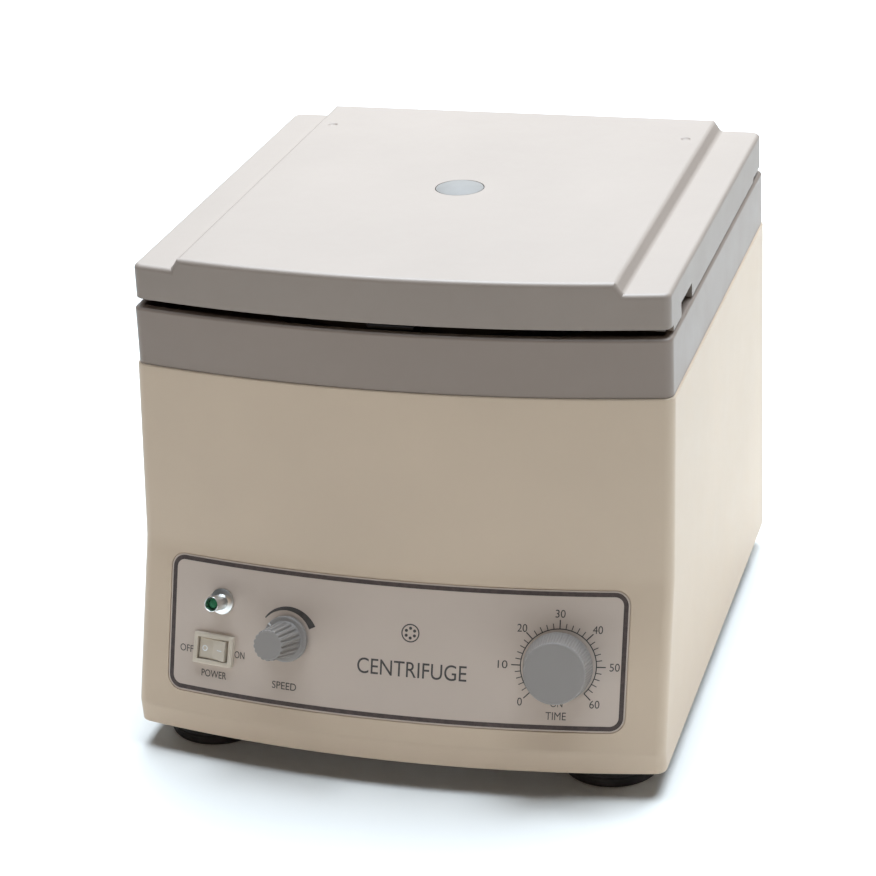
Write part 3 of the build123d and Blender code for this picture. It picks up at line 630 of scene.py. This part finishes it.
node_slot = {entry["node"]: entry["material_slot"] for entry in frame["record"]["subparts"]}
for name, obj in frame["nodes"].items():
    obj.data.materials.clear()
    # The latch plate gets near-black blackened steel in place of its own material: painted shade in the gap
    # under the lid's front.
    obj.data.materials.append(MATERIALS["blackened_steel" if name == "latch_plate" else node_slot[name]])


def stands_for(obj, body, slot, *nodes, key=None):
    """A finished piece: material, body, and the CAD nodes that it replaces."""
    dress(obj, slot, key)
    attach(obj, body)
    if nodes:
        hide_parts(*nodes)
    return obj


# ---- housing -------------------------------------------------------------------------------------
def housing():
    foot, brow = 1.0, 0.7               # radii of the lower and upper edges
    lower = [(BOTTOM_Z + foot - foot * math.cos(a), foot - foot * math.sin(a))
             for a in (math.radians(18 * k) for k in range(6))]
    top = [(HOUSING_TOP - brow + brow * math.sin(a), brow - brow * math.cos(a))
           for a in (math.radians(22.5 * k) for k in range(5))]
    bend = [BEND_Z + BEND_SOFT * k / 5 for k in range(-5, 6)]
    chin = [CHIN_Z + k * 0.6 for k in (-2, -1, 0, 1, 2)]
    flare = [CHIN_Z + 8 * k for k in range(1, 10)]
    upper = [z for z in (108 + 12 * k for k in range(7)) if z < HOUSING_TOP - 2]
    levels = sorted(set(lower + [(z, 0) for z in chin + flare + bend + upper] + top))
    rings = [[(x, y, z) for x, y in plan(smooth_front(z), inset)] for z, inset in levels]
    for z in [HOUSING_TOP, *reversed(bend), CHIN_Z, BOTTOM_Z]:
        rings.append([(x, y, z) for x, y in plan(smooth_front(z), WALL)])
    shell = add("housing_shell_look", loft(rings, caps=False, closed=True))
    gap = 0.4
    outline = rounded(PANEL_W + 2 * gap, PANEL_H + 2 * gap, PANEL_R + gap, (PANEL_X, 0))
    cut(shell, label_slab(outline, -PANEL_RECESS, 5))
    bevel(shell, recess_edge, 0.35, 3)
    rear = BACK - HOLE_DEPTH, BACK + HOLE_PAST
    x, z = centre_of("power_inlet")
    wide, high = INLET_HOLE
    tools = [box_bm(x - wide, x + wide, *rear, z - high, z + high)]
    tools.append(along_y(circle(FUSE_HOLE_R, 48, centre_of("fuse_holder")), *rear))
    for row in range(VENT_ROWS):
        centre = (VENT_X, VENT_LOW_Z + VENT_PITCH * row)
        tools.append(along_y(rounded(*VENT_SIZE, VENT_CORNER, centre, 6), *rear))
    cut(shell, *tools, *control_holes())
    bevel(shell, vent_edge, 0.4, 2)
    shade(shell, 32)
    return stands_for(shell, "base", "housing_cream", "housing_shell")


def control_holes():
    """Tools that cut the holes for the lamp, the two shafts and the switch."""
    tools = []
    for place_at, radius in ((LAMP, LAMP_HOLE_R), (SPEED, SPEED_HOLE_R), (TIMER, TIMER_HOLE_R)):
        tool = prism(circle(radius, 32), -HOLE_DEPTH, HOLE_PAST)
        bmesh.ops.transform(tool, matrix=panel_frame(*place_at), verts=tool.verts)
        tools.append(tool)
    wide, high = SWITCH_HOLE
    tool = box_bm(-wide, wide, -high, high, -HOLE_DEPTH, HOLE_PAST)
    bmesh.ops.transform(tool, matrix=panel_frame(*SWITCH), verts=tool.verts)
    return [*tools, tool]


def smooth_front(z):
    """The front line with the chin's crease softened."""
    soft = 3.0
    if abs(z - CHIN_Z) < soft:
        return sum(front_at(z + soft * k / 4) for k in range(-4, 5)) / 9
    return front_at(z)


def centre_of(name):
    """x and z of the middle of a CAD node."""
    low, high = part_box(name)
    return (low.x + high.x) / 2 / MM, (low.z + high.z) / 2 / MM


def along_y(outline, low, high):
    """Prism of an (x, z) outline along y."""
    return loft([[(x, low, z) for x, z in outline], [(x, high, z) for x, z in outline]])


def recess_edge(edge):
    """The outer rim of the label's recess."""
    at = middle(edge)
    if at.y > -100 or not is_sharp(edge, 50):
        return False
    return 30 < at.z < 100 and abs(at.x) < HALF - 8


def vent_edge(edge):
    """The outer rims of the vents."""
    at = middle(edge)
    beside = abs(at.x - VENT_X) < VENT_SIZE[0] / 2 + 1
    return is_sharp(edge, 50) and abs(at.y - BACK) < 0.05 and beside and 40 < at.z < 110


# ---- deck ----------------------------------------------------------------------------------------
def quarter(radius, steps=5):
    """(across, up) of points on a quarter circle, from its side to its top."""
    turn = [math.radians(90 * k / steps) for k in range(steps + 1)]
    return [(radius * (1 - math.cos(a)), radius * math.sin(a)) for a in turn]


def deck():
    outer, rim, hole = 1.6, 0.8, BOWL_R + 0.5
    section = [(DECK_INSET + 0.3, HOUSING_TOP), (DECK_INSET, HOUSING_TOP + 0.3)]
    section += [(DECK_INSET + across, DECK_TOP - outer + up) for across, up in quarter(outer)]
    section += [(DECK_RIM - across, DECK_TOP - rim + up) for across, up in reversed(quarter(rim))]
    section += [(DECK_RIM + across, DECK_FLOOR + rim - up) for across, up in quarter(rim)]
    walls = [plan(FRONT_TOP, inset) for inset, _ in section] + [plan(FRONT_TOP, WALL)]
    *walls, inner = evened(walls, 5.0)
    rings = [[(x, y, z) for x, y in wall] for wall, (_, z) in zip(walls, section)]
    for radius, z in ((hole + rim, DECK_FLOOR), (hole + 0.25, DECK_FLOOR - 0.25), (hole, DECK_FLOOR - rim),
                      (hole, DECK_FLOOR - WALL)):
        rings.append([(x * radius / math.hypot(x, y), y * radius / math.hypot(x, y), z) for x, y in inner])
    rings += [[(x, y, z) for x, y in inner] for z in (DECK_FLOOR - WALL, HOUSING_TOP)]
    form = add("top_deck_look", loft(rings, caps=False, closed=True))
    shade(form, 32)
    return stands_for(form, "base", "lid_grey", "top_deck", key="deck_grey")


def on_outline(edge, inset, front=FRONT_TOP, half=HALF, back=BACK):
    """True if an edge lies on the plan outline, within a small margin."""
    at = middle(edge)
    if abs(abs(at.x) - (half - inset)) < 0.6 or abs(at.y - (back - inset)) < 0.6:
        return True
    radius = (half ** 2 + BOW ** 2) / (2 * BOW)
    centre = front - BOW + radius
    if at.y < front + 12 and abs(math.hypot(at.x, at.y - centre) - (radius - inset)) < 0.6:
        return True
    return abs(at.x) > half - inset - CORNER and (at.y < front + 14 or at.y > back - 14)


# ---- lid -----------------------------------------------------------------------------------------
def lid():
    outline = plan(LID_FRONT, 0, LID_HALF, LID_BACK, LID_CORNER)
    form = add("lid_shell_look", prism(outline, LID_SKIRT_Z, LID_TOP_Z))
    for side in (-1, 1):
        far = side * CLEAR
        wedge = [(side * PLATFORM_TOP, LID_TOP_Z), (side * PLATFORM_BASE, LID_FLANGE_Z), (far, LID_FLANGE_Z),
                 (far, LID_TOP_Z + 10), (side * PLATFORM_TOP, LID_TOP_Z + 10)]
        cut(form, along_y(wedge, -160, 160))
    bevel(form, lid_top_edge, 2.4, 6, clamp=False)
    bevel(form, lid_step_edge, 1.7, 5, clamp=False)
    inner = plan(LID_FRONT, WALL, LID_HALF, LID_BACK, LID_CORNER)
    cut(form, prism(inner, LID_SKIRT_Z - 5, LID_FLANGE_Z - WALL))
    low = 200                           # under the lid
    rear, lift = LID_REAR_CLEAR
    cut(form,
        box_bm(-CLEAR, CLEAR, -150, LID_FRONT + LID_LIP_DEPTH, low, LID_LIP_Z),
        box_bm(-CLEAR, CLEAR, rear, CLEAR, low, LID_SKIRT_Z + lift),
        box_bm(LID_HALF - NOTCH_DEPTH, CLEAR, *NOTCH_Y, low, NOTCH_TOP),
        box_bm(-CLEAR, NOTCH_DEPTH - LID_HALF, *NOTCH_Y, low, NOTCH_TOP),
        prism(circle(WINDOW_HOLE_R, 64), 228, 250))
    dimples = []
    for side in (-1, 1):
        profile = [(0, -0.9), (1.8, -0.7), (3.1, 0.4), (0, 0.4)]
        bowl = lathe([(radius, LID_TOP_Z + height) for radius, height in profile], 32)
        bmesh.ops.translate(bowl, vec=(side * DIMPLE[0], DIMPLE[1], 0), verts=bowl.verts)
        dimples.append(bowl)
    cut(form, *dimples)
    bevel(form, lid_low_edge, 0.6, 3)
    bevel(form, window_edge, 0.4, 3)
    shade(form, 32)
    return stands_for(form, "lid", "lid_grey", "lid_shell")


def lid_top_edge(edge):
    """Edges round the lid's top, where it turns down into its walls."""
    at = middle(edge)
    if not is_sharp(edge, 50) or at.z < LID_FLANGE_Z - 0.1:
        return False
    return on_outline(edge, 0, LID_FRONT, LID_HALF, LID_BACK)


def lid_step_edge(edge):
    """The long edges between the raised middle and the side flanges."""
    at = middle(edge)
    along = abs((edge.verts[0].co - edge.verts[1].co).normalized().y) > 0.99
    return is_sharp(edge, 20) and along and abs(abs(at.x) - 106) < 3.5 and at.z > LID_FLANGE_Z - 0.1


def lid_low_edge(edge):
    """The outer lower rim of the lid."""
    at = middle(edge)
    flat = abs((edge.verts[0].co - edge.verts[1].co).normalized().z) < 0.1
    return is_sharp(edge, 60) and flat and at.z < 226 and on_outline(edge, 0, LID_FRONT, LID_HALF, LID_BACK)


def window_edge(edge):
    """The outer rim of the window's hole."""
    at = middle(edge)
    return is_sharp(edge, 50) and at.z > LID_TOP_Z - 0.05 and at.xy.length < 13


def window():
    """Domed clear sight glass, thicker at its rim."""
    dome = 30.0
    centre = LID_TOP_Z + 2.3 - dome
    arc = [(r, centre + math.sqrt(dome ** 2 - r ** 2)) for r in (0, 2, 4, 6, 8, 9.5, 10.6, 11.3)]
    rim = [(11.8, LID_TOP_Z - 0.1), (11.9, LID_TOP_Z - 0.6),
           (11.9, 236.5), (11.4, 236.0), (10.4, 236.0), (10.0, 236.6)]
    under = [(10.0, 240.0), (8.5, 241.2), (5, 242.0), (0, 242.3)]
    glass = add("lid_window_look", lathe(arc + rim + under, 96))
    shade(glass, 40)
    return stands_for(glass, "lid", "clear_window", "lid_window", key="window_cap")


# ---- label and its print -------------------------------------------------------------------------
def label():
    outline = rounded(PANEL_W, PANEL_H, PANEL_R, (PANEL_X, 0))
    plate = add("control_panel_look", label_slab(outline, -PANEL_RECESS, PANEL_FACE, 3.0))
    cut(plate, *control_holes())
    shade(plate, 40)
    return stands_for(plate, "base", "panel_grey", "control_panel")


def band(outer, inner):
    """Flat closed strip between two outlines with the same number of points."""
    rings = [[(x, y, 0) for x, y in outer], [(x, y, 0) for x, y in inner],
             [(x, y, INK) for x, y in inner], [(x, y, INK) for x, y in outer]]
    return loft(rings, caps=False, closed=True)


def printed(name, bm, key):
    """A flat bmesh in label coordinates as ink on the label."""
    stands_for(add(name, to_panel(bm, PANEL_FACE)), "base", "panel_grey", key=key)


def on_label(x, z):
    """Label coordinates of a point given by x and height."""
    return x, (z - PANEL_Z) / math.cos(TILT)


def border():
    margin, width = 0.7, 2.1

    def outline(inset):
        return rounded(PANEL_W - 2 * inset, PANEL_H - 2 * inset, PANEL_R - inset, (PANEL_X, 0), 12)

    printed("label_border", band(*evened([outline(margin), outline(margin + width)], 3.0)), "panel_ink")


def lettering(name, text, x, z, height, width):
    """A word printed on the label: x, z of its middle, its capital height and its full width."""
    curve = bpy.data.curves.new(name, "FONT")
    curve.body = text
    curve.align_x = "CENTER"
    curve.size = 1.0
    curve.resolution_u = 6
    curve.extrude = 0.02
    holder = bpy.data.objects.new(name, curve)
    bpy.context.scene.collection.objects.link(holder)
    bpy.context.view_layer.update()
    mesh = bpy.data.meshes.new_from_object(holder.evaluated_get(bpy.context.evaluated_depsgraph_get()))
    bpy.data.objects.remove(holder)
    bpy.data.curves.remove(curve)
    bm = bmesh.new()
    bm.from_mesh(mesh)
    bpy.data.meshes.remove(mesh)
    bmesh.ops.remove_doubles(bm, verts=bm.verts, dist=1e-5)
    xs = [v.co.x for v in bm.verts]
    ys = [v.co.y for v in bm.verts]
    tall = height / (max(ys) - min(ys))
    wide = width / (max(xs) - min(xs))
    mid_x, mid_y = (max(xs) + min(xs)) / 2, (max(ys) + min(ys)) / 2
    u, v = on_label(x, z)
    for vert in bm.verts:
        rise = INK if vert.co.z > 0 else 0.0
        vert.co = ((vert.co.x - mid_x) * wide + u, (vert.co.y - mid_y) * tall + v, rise)
    printed(name, bm, "text_ink")


def words():
    lettering("word_centrifuge", "CENTRIFUGE", 10.8, 56.6, 7.4, 53.0)
    lettering("word_speed", "SPEED", -52.1, 42.7, 3.5, 12.4)
    lettering("word_time", "TIME", 79.7, 39.9, 3.6, 9.4)
    lettering("word_power", "POWER", -89.1, 42.8, 3.4, 13.2)
    lettering("word_off", "OFF", -104.2, 52.6, 3.4, 7.0)
    lettering("word_on", "ON", -75.9, 53.5, 3.4, 5.2)
    lettering("word_hold", "ON", 79.8, 45.4, 3.2, 5.6)


def timer_scale():
    """Ring, ticks and numbers of the sixty-minute scale, clockwise from the lower left."""
    u, v = on_label(*TIMER)
    ring = 17.5

    def polar(radius, degrees):
        a = math.radians(90 - degrees)
        return u + radius * math.cos(a), v + radius * math.sin(a)

    arc = [-135 + 270 * k / 90 for k in range(91)]
    line = 0.24
    outer = [polar(ring + line, d) for d in arc]
    inner = [polar(ring - line, d) for d in reversed(arc)]
    shapes = [outer + inner]
    for k in range(31):
        degrees = -135 + 9 * k
        end = 21.8 if k % 5 == 0 else 20.2
        half = 0.27 if k % 5 == 0 else 0.21
        a, b = polar(ring, degrees), polar(end, degrees)
        side = (math.cos(math.radians(-degrees)) * half, math.sin(math.radians(-degrees)) * half)
        shapes.append([(a[0] - side[0], a[1] - side[1]), (a[0] + side[0], a[1] + side[1]),
                       (b[0] + side[0], b[1] + side[1]), (b[0] - side[0], b[1] - side[1])])
    bm = bmesh.new()
    for shape in shapes:
        low = [bm.verts.new((x, y, 0)) for x, y in shape]
        high = [bm.verts.new((x, y, INK)) for x, y in shape]
        count = len(shape)
        if count == 4:
            bm.faces.new(high)
            bm.faces.new(list(reversed(low)))
        else:
            half_count = count // 2
            for k in range(half_count - 1):
                quad = (k, k + 1, count - 2 - k, count - 1 - k)
                bm.faces.new([high[i] for i in quad])
                bm.faces.new([low[i] for i in reversed(quad)])
        for k in range(count):
            j = (k + 1) % count
            bm.faces.new((low[k], low[j], high[j], high[k]))
    printed("timer_scale", bm, "text_ink")
    for k, number in enumerate(("0", "10", "20", "30", "40", "50", "60")):
        degrees = -135 + 45 * k
        x, y = polar(24.6 if number != "0" else 24.2, degrees)
        if number in ("10", "50"):
            x += math.copysign(1.2, x - u)
        width = 2.2 if number == "0" else 4.6
        lettering("number_" + number, number, x, PANEL_Z + y * math.cos(TILT), 3.7, width)


def speed_wedge():
    """The printed wedge over the speed knob, thicker clockwise."""
    u, v = on_label(*SPEED)
    steps = 48
    outer, inner = [], []
    for k in range(steps + 1):
        share = k / steps
        a = math.radians(90 - (-54 + 117 * share))
        far = 14.6 + 1.2 * share
        near = far - 0.6 - 2.9 * share
        outer.append((u + far * math.cos(a), v + far * math.sin(a)))
        inner.append((u + near * math.cos(a), v + near * math.sin(a)))
    bm = bmesh.new()
    rows = []
    for o, i in zip(outer, inner):
        rows.append([bm.verts.new(p) for p in ((*o, 0), (*i, 0), (*i, INK), (*o, INK))])
    for a, b in zip(rows, rows[1:]):
        for k in range(4):
            j = (k + 1) % 4
            bm.faces.new((a[k], a[j], b[j], b[k]))
    bm.faces.new(rows[0])
    bm.faces.new(list(reversed(rows[-1])))
    printed("speed_wedge", bm, "text_ink")


def rotor_sign():
    """Generic picture of a six-place rotor, where the machine carries its number."""
    u, v = on_label(9.6, 73.0)
    bm = band(circle(4.4, 48, (u, v)), circle(3.8, 48, (u, v)))
    for k in range(6):
        a = math.radians(60 * k + 30)
        dot = prism(circle(0.75, 20, (u + 2.3 * math.cos(a), v + 2.3 * math.sin(a))), 0, INK)
        mesh = bpy.data.meshes.new("dot")
        dot.to_mesh(mesh)
        dot.free()
        bm.from_mesh(mesh)
        bpy.data.meshes.remove(mesh)
    printed("rotor_sign", bm, "text_ink")


# ---- controls ------------------------------------------------------------------------------------
def fluted(profile, count, depth, span, steps_each=8, share=0.5):
    """Turned form whose side is cut by flutes between two heights; profile is (radius, height)."""
    fade_low, fade_high = 1.2, 0.8

    def reach(radius, height, turn):
        fade = min(max((height - span[0]) / fade_low, 0), 1) * min(max((span[1] - height) / fade_high, 0), 1)
        wave = (1 + math.cos(count * turn)) / 2
        groove = max(0.0, (wave - 1 + share) / share) ** 0.8
        return radius - depth * fade * groove

    return lathe(profile, count * steps_each, reach=reach)


def corner_arc(radius, height, size, steps=5):
    """Profile points of a rounded outer edge that ends a wall of that radius at that height."""
    points = []
    for k in range(steps + 1):
        a = math.radians(90 * k / steps)
        points.append((radius - size + size * math.cos(a), height - size + size * math.sin(a)))
    return points


def speed_dial():
    skirt = [(6.9, 5.5), (6.9, 1.0), (10.7, 1.0), (11.0, 1.3), (11.0, 2.4)] + corner_arc(11.0, 3.4, 0.9, 5)
    grip = [(8.9, 3.5), (8.55, 3.9)]
    taper = [(8.5 - 1.0 * k / 12, 4.4 + 17.6 * k / 12) for k in range(13)]
    face = corner_arc(7.45, 22.9, 0.7, 4) + [(6.2, 22.9), (5.8, 22.75), (0, 22.75)]
    knob = add("speed_knob_look", fluted(skirt + grip + taper + face, 18, 0.75, (4.0, 23.1), 10, 0.55))
    place(knob, panel_frame(*SPEED))
    shade(knob, 38)
    stands_for(knob, "speed_dial", "knob_grey", "speed_knob")
    line = box_bm(-0.45, 0.45, 8.9, 10.9, 3.3, 3.47)
    mark = add("speed_pointer", line)
    bevel(mark, lambda e: is_sharp(e) and middle(e).z > 3.4, 0.05, 2)
    turn = Matrix.Rotation(math.radians(52), 4, "Z")
    place(mark, panel_frame(*SPEED) @ turn)
    stands_for(mark, "speed_dial", "knob_grey", key="white_ink")


def timer_dial():
    skirt = [(8.3, 6.0), (8.3, 4.0), (13.0, 4.0), (13.0, 1.0), (15.9, 1.0), (16.2, 1.3), (16.2, 2.2)]
    taper = [(16.1 - 1.75 * k / 14, 2.8 + 15.8 * k / 14) for k in range(15)]
    face = corner_arc(14.3, 19.6, 0.6, 4) + [(13.0, 19.6), (12.7, 19.5), (0, 19.5)]
    knob = add("timer_knob_look", fluted(skirt + taper + face, 72, 0.28, (2.6, 18.9), 6, 0.8))
    place(knob, panel_frame(*TIMER))
    shade(knob, 38)
    stands_for(knob, "timer_dial", "knob_grey", "timer_knob")
    mark = add("timer_pointer", box_bm(-0.4, 0.4, 14.9, 16.05, 1.6, 2.6))
    place(mark, panel_frame(*TIMER) @ Matrix.Rotation(math.radians(135), 4, "Z"))
    stands_for(mark, "timer_dial", "knob_grey", key="white_ink")


def lamp():
    tube = [(2.45, -2.0), (2.45, 8.6), (3.15, 11.1), (3.3, 11.4), *reversed(corner_arc(3.7, 11.5, 0.3, 3))]
    thread = [(3.7, 10.6), (3.7, 2.2), (3.9, 1.9)]
    flange = [(5.2, 1.5), (6.1, 1.0), (6.2, 0.7), (6.2, 0.0), (3.2, 0.0), (3.2, -2.0)]
    bezel = add("indicator_bezel_look", lathe(tube + thread + flange, 64, closed=True))
    place(bezel, panel_frame(*LAMP))
    shade(bezel, 35)
    stands_for(bezel, "base", "chrome_trim", "indicator_bezel")
    turn = [math.radians(90 * k / 8) for k in range(9)]
    arc = [(2.4 * math.cos(a), 8.3 + 2.1 * math.sin(a)) for a in turn]
    lens = add("indicator_lens_look", lathe([(0, -4.0), (2.4, -4.0)] + arc[:-1] + [(0, 10.4)], 48))
    place(lens, panel_frame(*LAMP))
    shade(lens, 35)
    stands_for(lens, "base", "lamp_green", "indicator_lens")


def power_switch():
    wide, high = 8.2, 5.3
    frame_bm = prism(rounded(21, 15, 0.9, steps=4), PANEL_FACE, 2.2)
    bezel = add("switch_frame_look", frame_bm)
    bevel(bezel, lambda e: is_sharp(e, 50) and middle(e).z > 2.1, 0.8, 4)
    body = add("tool", box_bm(-9.4, 9.4, -6.4, 6.4, -15, 1))
    boolean(bezel, [body], "UNION")
    cut(bezel, box_bm(-wide, wide, -high, high, -11.5, 5))
    bevel(bezel, lambda e: is_sharp(e, 50) and middle(e).z > 2.1 and abs(middle(e).x) < 8.5, 0.25, 2)
    place(bezel, panel_frame(*SWITCH))
    shade(bezel, 35)
    stands_for(bezel, "base", "switch_cream", "switch_frame")

    end, dip = (7.3, 3.9), (0.6, 3.08)
    outline = [(0, 3.04), dip, end, (7.3, -2.5), (3.2, -4.6), (-3.2, -4.6), (-7.3, -2.5), (-7.3, 3.9),
               (-0.6, 3.08)]
    rocker = add("switch_rocker_look", along_y(outline, -4.95, 4.95))
    bevel(rocker, lambda e: is_sharp(e, 40) and middle(e).z > 2.8, 0.45, 3)
    tilt = Matrix.Rotation(math.radians(-8), 4, "Y")
    drop = Matrix.Translation((0, 0, -2.0))
    seat = panel_frame(*SWITCH) @ drop @ tilt
    place(rocker, seat)
    shade(rocker, 30)
    stands_for(rocker, "power_rocker", "switch_cream", "switch_rocker")
    slope = (end[1] - dip[1]) / (end[0] - dip[0])
    lean = math.atan(slope)
    reach = 4.2
    high = dip[1] + slope * (reach - dip[0]) + 0.01
    ring = add("rocker_off_mark", band(circle(1.45, 32), circle(0.95, 32)))
    place(ring, seat @ Matrix.Translation((-reach, 0, high)) @ Matrix.Rotation(lean, 4, "Y"))
    stands_for(ring, "power_rocker", "switch_cream", key="mark_ink")
    bar = add("rocker_on_mark", box_bm(-1.5, 1.5, -0.25, 0.25, 0, INK))
    place(bar, seat @ Matrix.Translation((reach, 0, high)) @ Matrix.Rotation(-lean, 4, "Y"))
    stands_for(bar, "power_rocker", "switch_cream", key="mark_ink")


# ---- feet ----------------------------------------------------------------------------------------
def feet():
    low, high = feet_low, feet_high
    sole = [(FOOT_R - 1.6, 0.0), (FOOT_R - 0.5, 0.5), (FOOT_R, 1.6)]
    groove = [(FOOT_R, 4.6), (FOOT_R - 0.5, 5.0), (FOOT_R - 0.5, 5.6), (FOOT_R, 6.0)]
    head = [(FOOT_R, 11.6), (FOOT_R - 0.9, PLATE_BOTTOM), (2.0, PLATE_BOTTOM), (2.0, 5.0)]
    profile = [(5.5, 5.0), (5.5, 0.6), (6.1, 0.0)] + sole + groove + head
    parts = []
    for x in (low.x + FOOT_R, high.x - FOOT_R):
        for y in (low.y + FOOT_R, high.y - FOOT_R):
            foot = lathe(profile, 72, closed=True)
            bmesh.ops.translate(foot, vec=(x, y, 0), verts=foot.verts)
            parts.append(add("foot", foot))
    obj = join("rubber_feet_look", parts)
    shade(obj, 35)
    stands_for(obj, "base", "rubber_black", "rubber_feet")


housing()
deck()
lid()
window()
label()
border()
words()
timer_scale()
speed_wedge()
rotor_sign()
speed_dial()
timer_dial()
lamp()
power_switch()
feet()


# ---- floor, light and camera ---------------------------------------------------------------------
def stage():
    size = 6.0
    bm = bmesh.new()
    bmesh.ops.create_grid(bm, x_segments=2, y_segments=2, size=size)
    mesh = bpy.data.meshes.new("floor")
    bm.to_mesh(mesh)
    bm.free()
    floor = bpy.data.objects.new("floor", mesh)
    bpy.context.scene.collection.objects.link(floor)
    mat, tree, shader = material("floor_paper", (0.87, 0.85, 0.81), 0.8, specular_ior_level=0.2)
    dark, light = (0.86, 0.84, 0.8), (0.88, 0.86, 0.82)
    cloud(tree, coords(tree), 2.0, 4.0, [(0.3, dark), (0.7, light)], shader)
    mesh.materials.append(mat)
    world = bpy.data.worlds.new("studio")
    world.use_nodes = True
    world.node_tree.nodes["Background"].inputs["Color"].default_value = (0.92, 0.96, 1, 1)
    world.node_tree.nodes["Background"].inputs["Strength"].default_value = 0.08
    bpy.context.scene.world = world


def area_light(name, location, target, size, power, colour=(1, 1, 1)):
    data = bpy.data.lights.new(name, "AREA")
    data.shape = "RECTANGLE"
    data.size, data.size_y = size
    data.energy = power
    data.color = colour
    obj = bpy.data.objects.new(name, data)
    obj.location = location
    obj.rotation_mode = "QUATERNION"
    obj.rotation_quaternion = (Vector(target) - Vector(location)).to_track_quat("-Z", "Y")
    bpy.context.scene.collection.objects.link(obj)


def camera():
    """The photograph's view, with a small shift for its framing."""
    yaw, pitch, roll = math.radians(17.2), math.radians(21.19), math.radians(-2.82)
    back = Vector((math.sin(yaw) * math.cos(pitch), -math.cos(yaw) * math.cos(pitch), math.sin(pitch)))
    data = bpy.data.cameras.new("camera")
    data.sensor_width = 36.0
    data.lens = 113.7
    data.shift_x = 0.038
    data.shift_y = -0.122
    data.clip_start, data.clip_end = 0.05, 50
    obj = bpy.data.objects.new("camera", data)
    obj.location = (0.355, -1.2505, 0.6717)
    obj.rotation_mode = "QUATERNION"
    look = (-back).to_track_quat("-Z", "Y")
    obj.rotation_quaternion = look @ Matrix.Rotation(roll, 4, "Z").to_quaternion()
    bpy.context.scene.collection.objects.link(obj)
    bpy.context.scene.camera = obj


stage()
area_light("top_soft", (0.05, 0.5, 1.9), (0, 0.1, 0.2), (1.8, 1.6), 105, (0.85, 0.975, 1.1))
area_light("right_soft", (1.9, 0.5, 0.6), (0, 0, 0.12), (1.4, 1.0), 2.6, (1.0, 0.92, 0.82))
area_light("back_soft", (-0.7, 2.2, 1.1), (0, 0, 0.24), (2.4, 1.4), 12, (0.92, 0.97, 1.0))
area_light("front_fill", (-0.3, -1.7, 0.5), (0, 0, 0.12), (1.2, 0.8), 1.6, (1.0, 0.68, 0.4))
camera()
bpy.context.scene.view_settings.view_transform = "Standard"
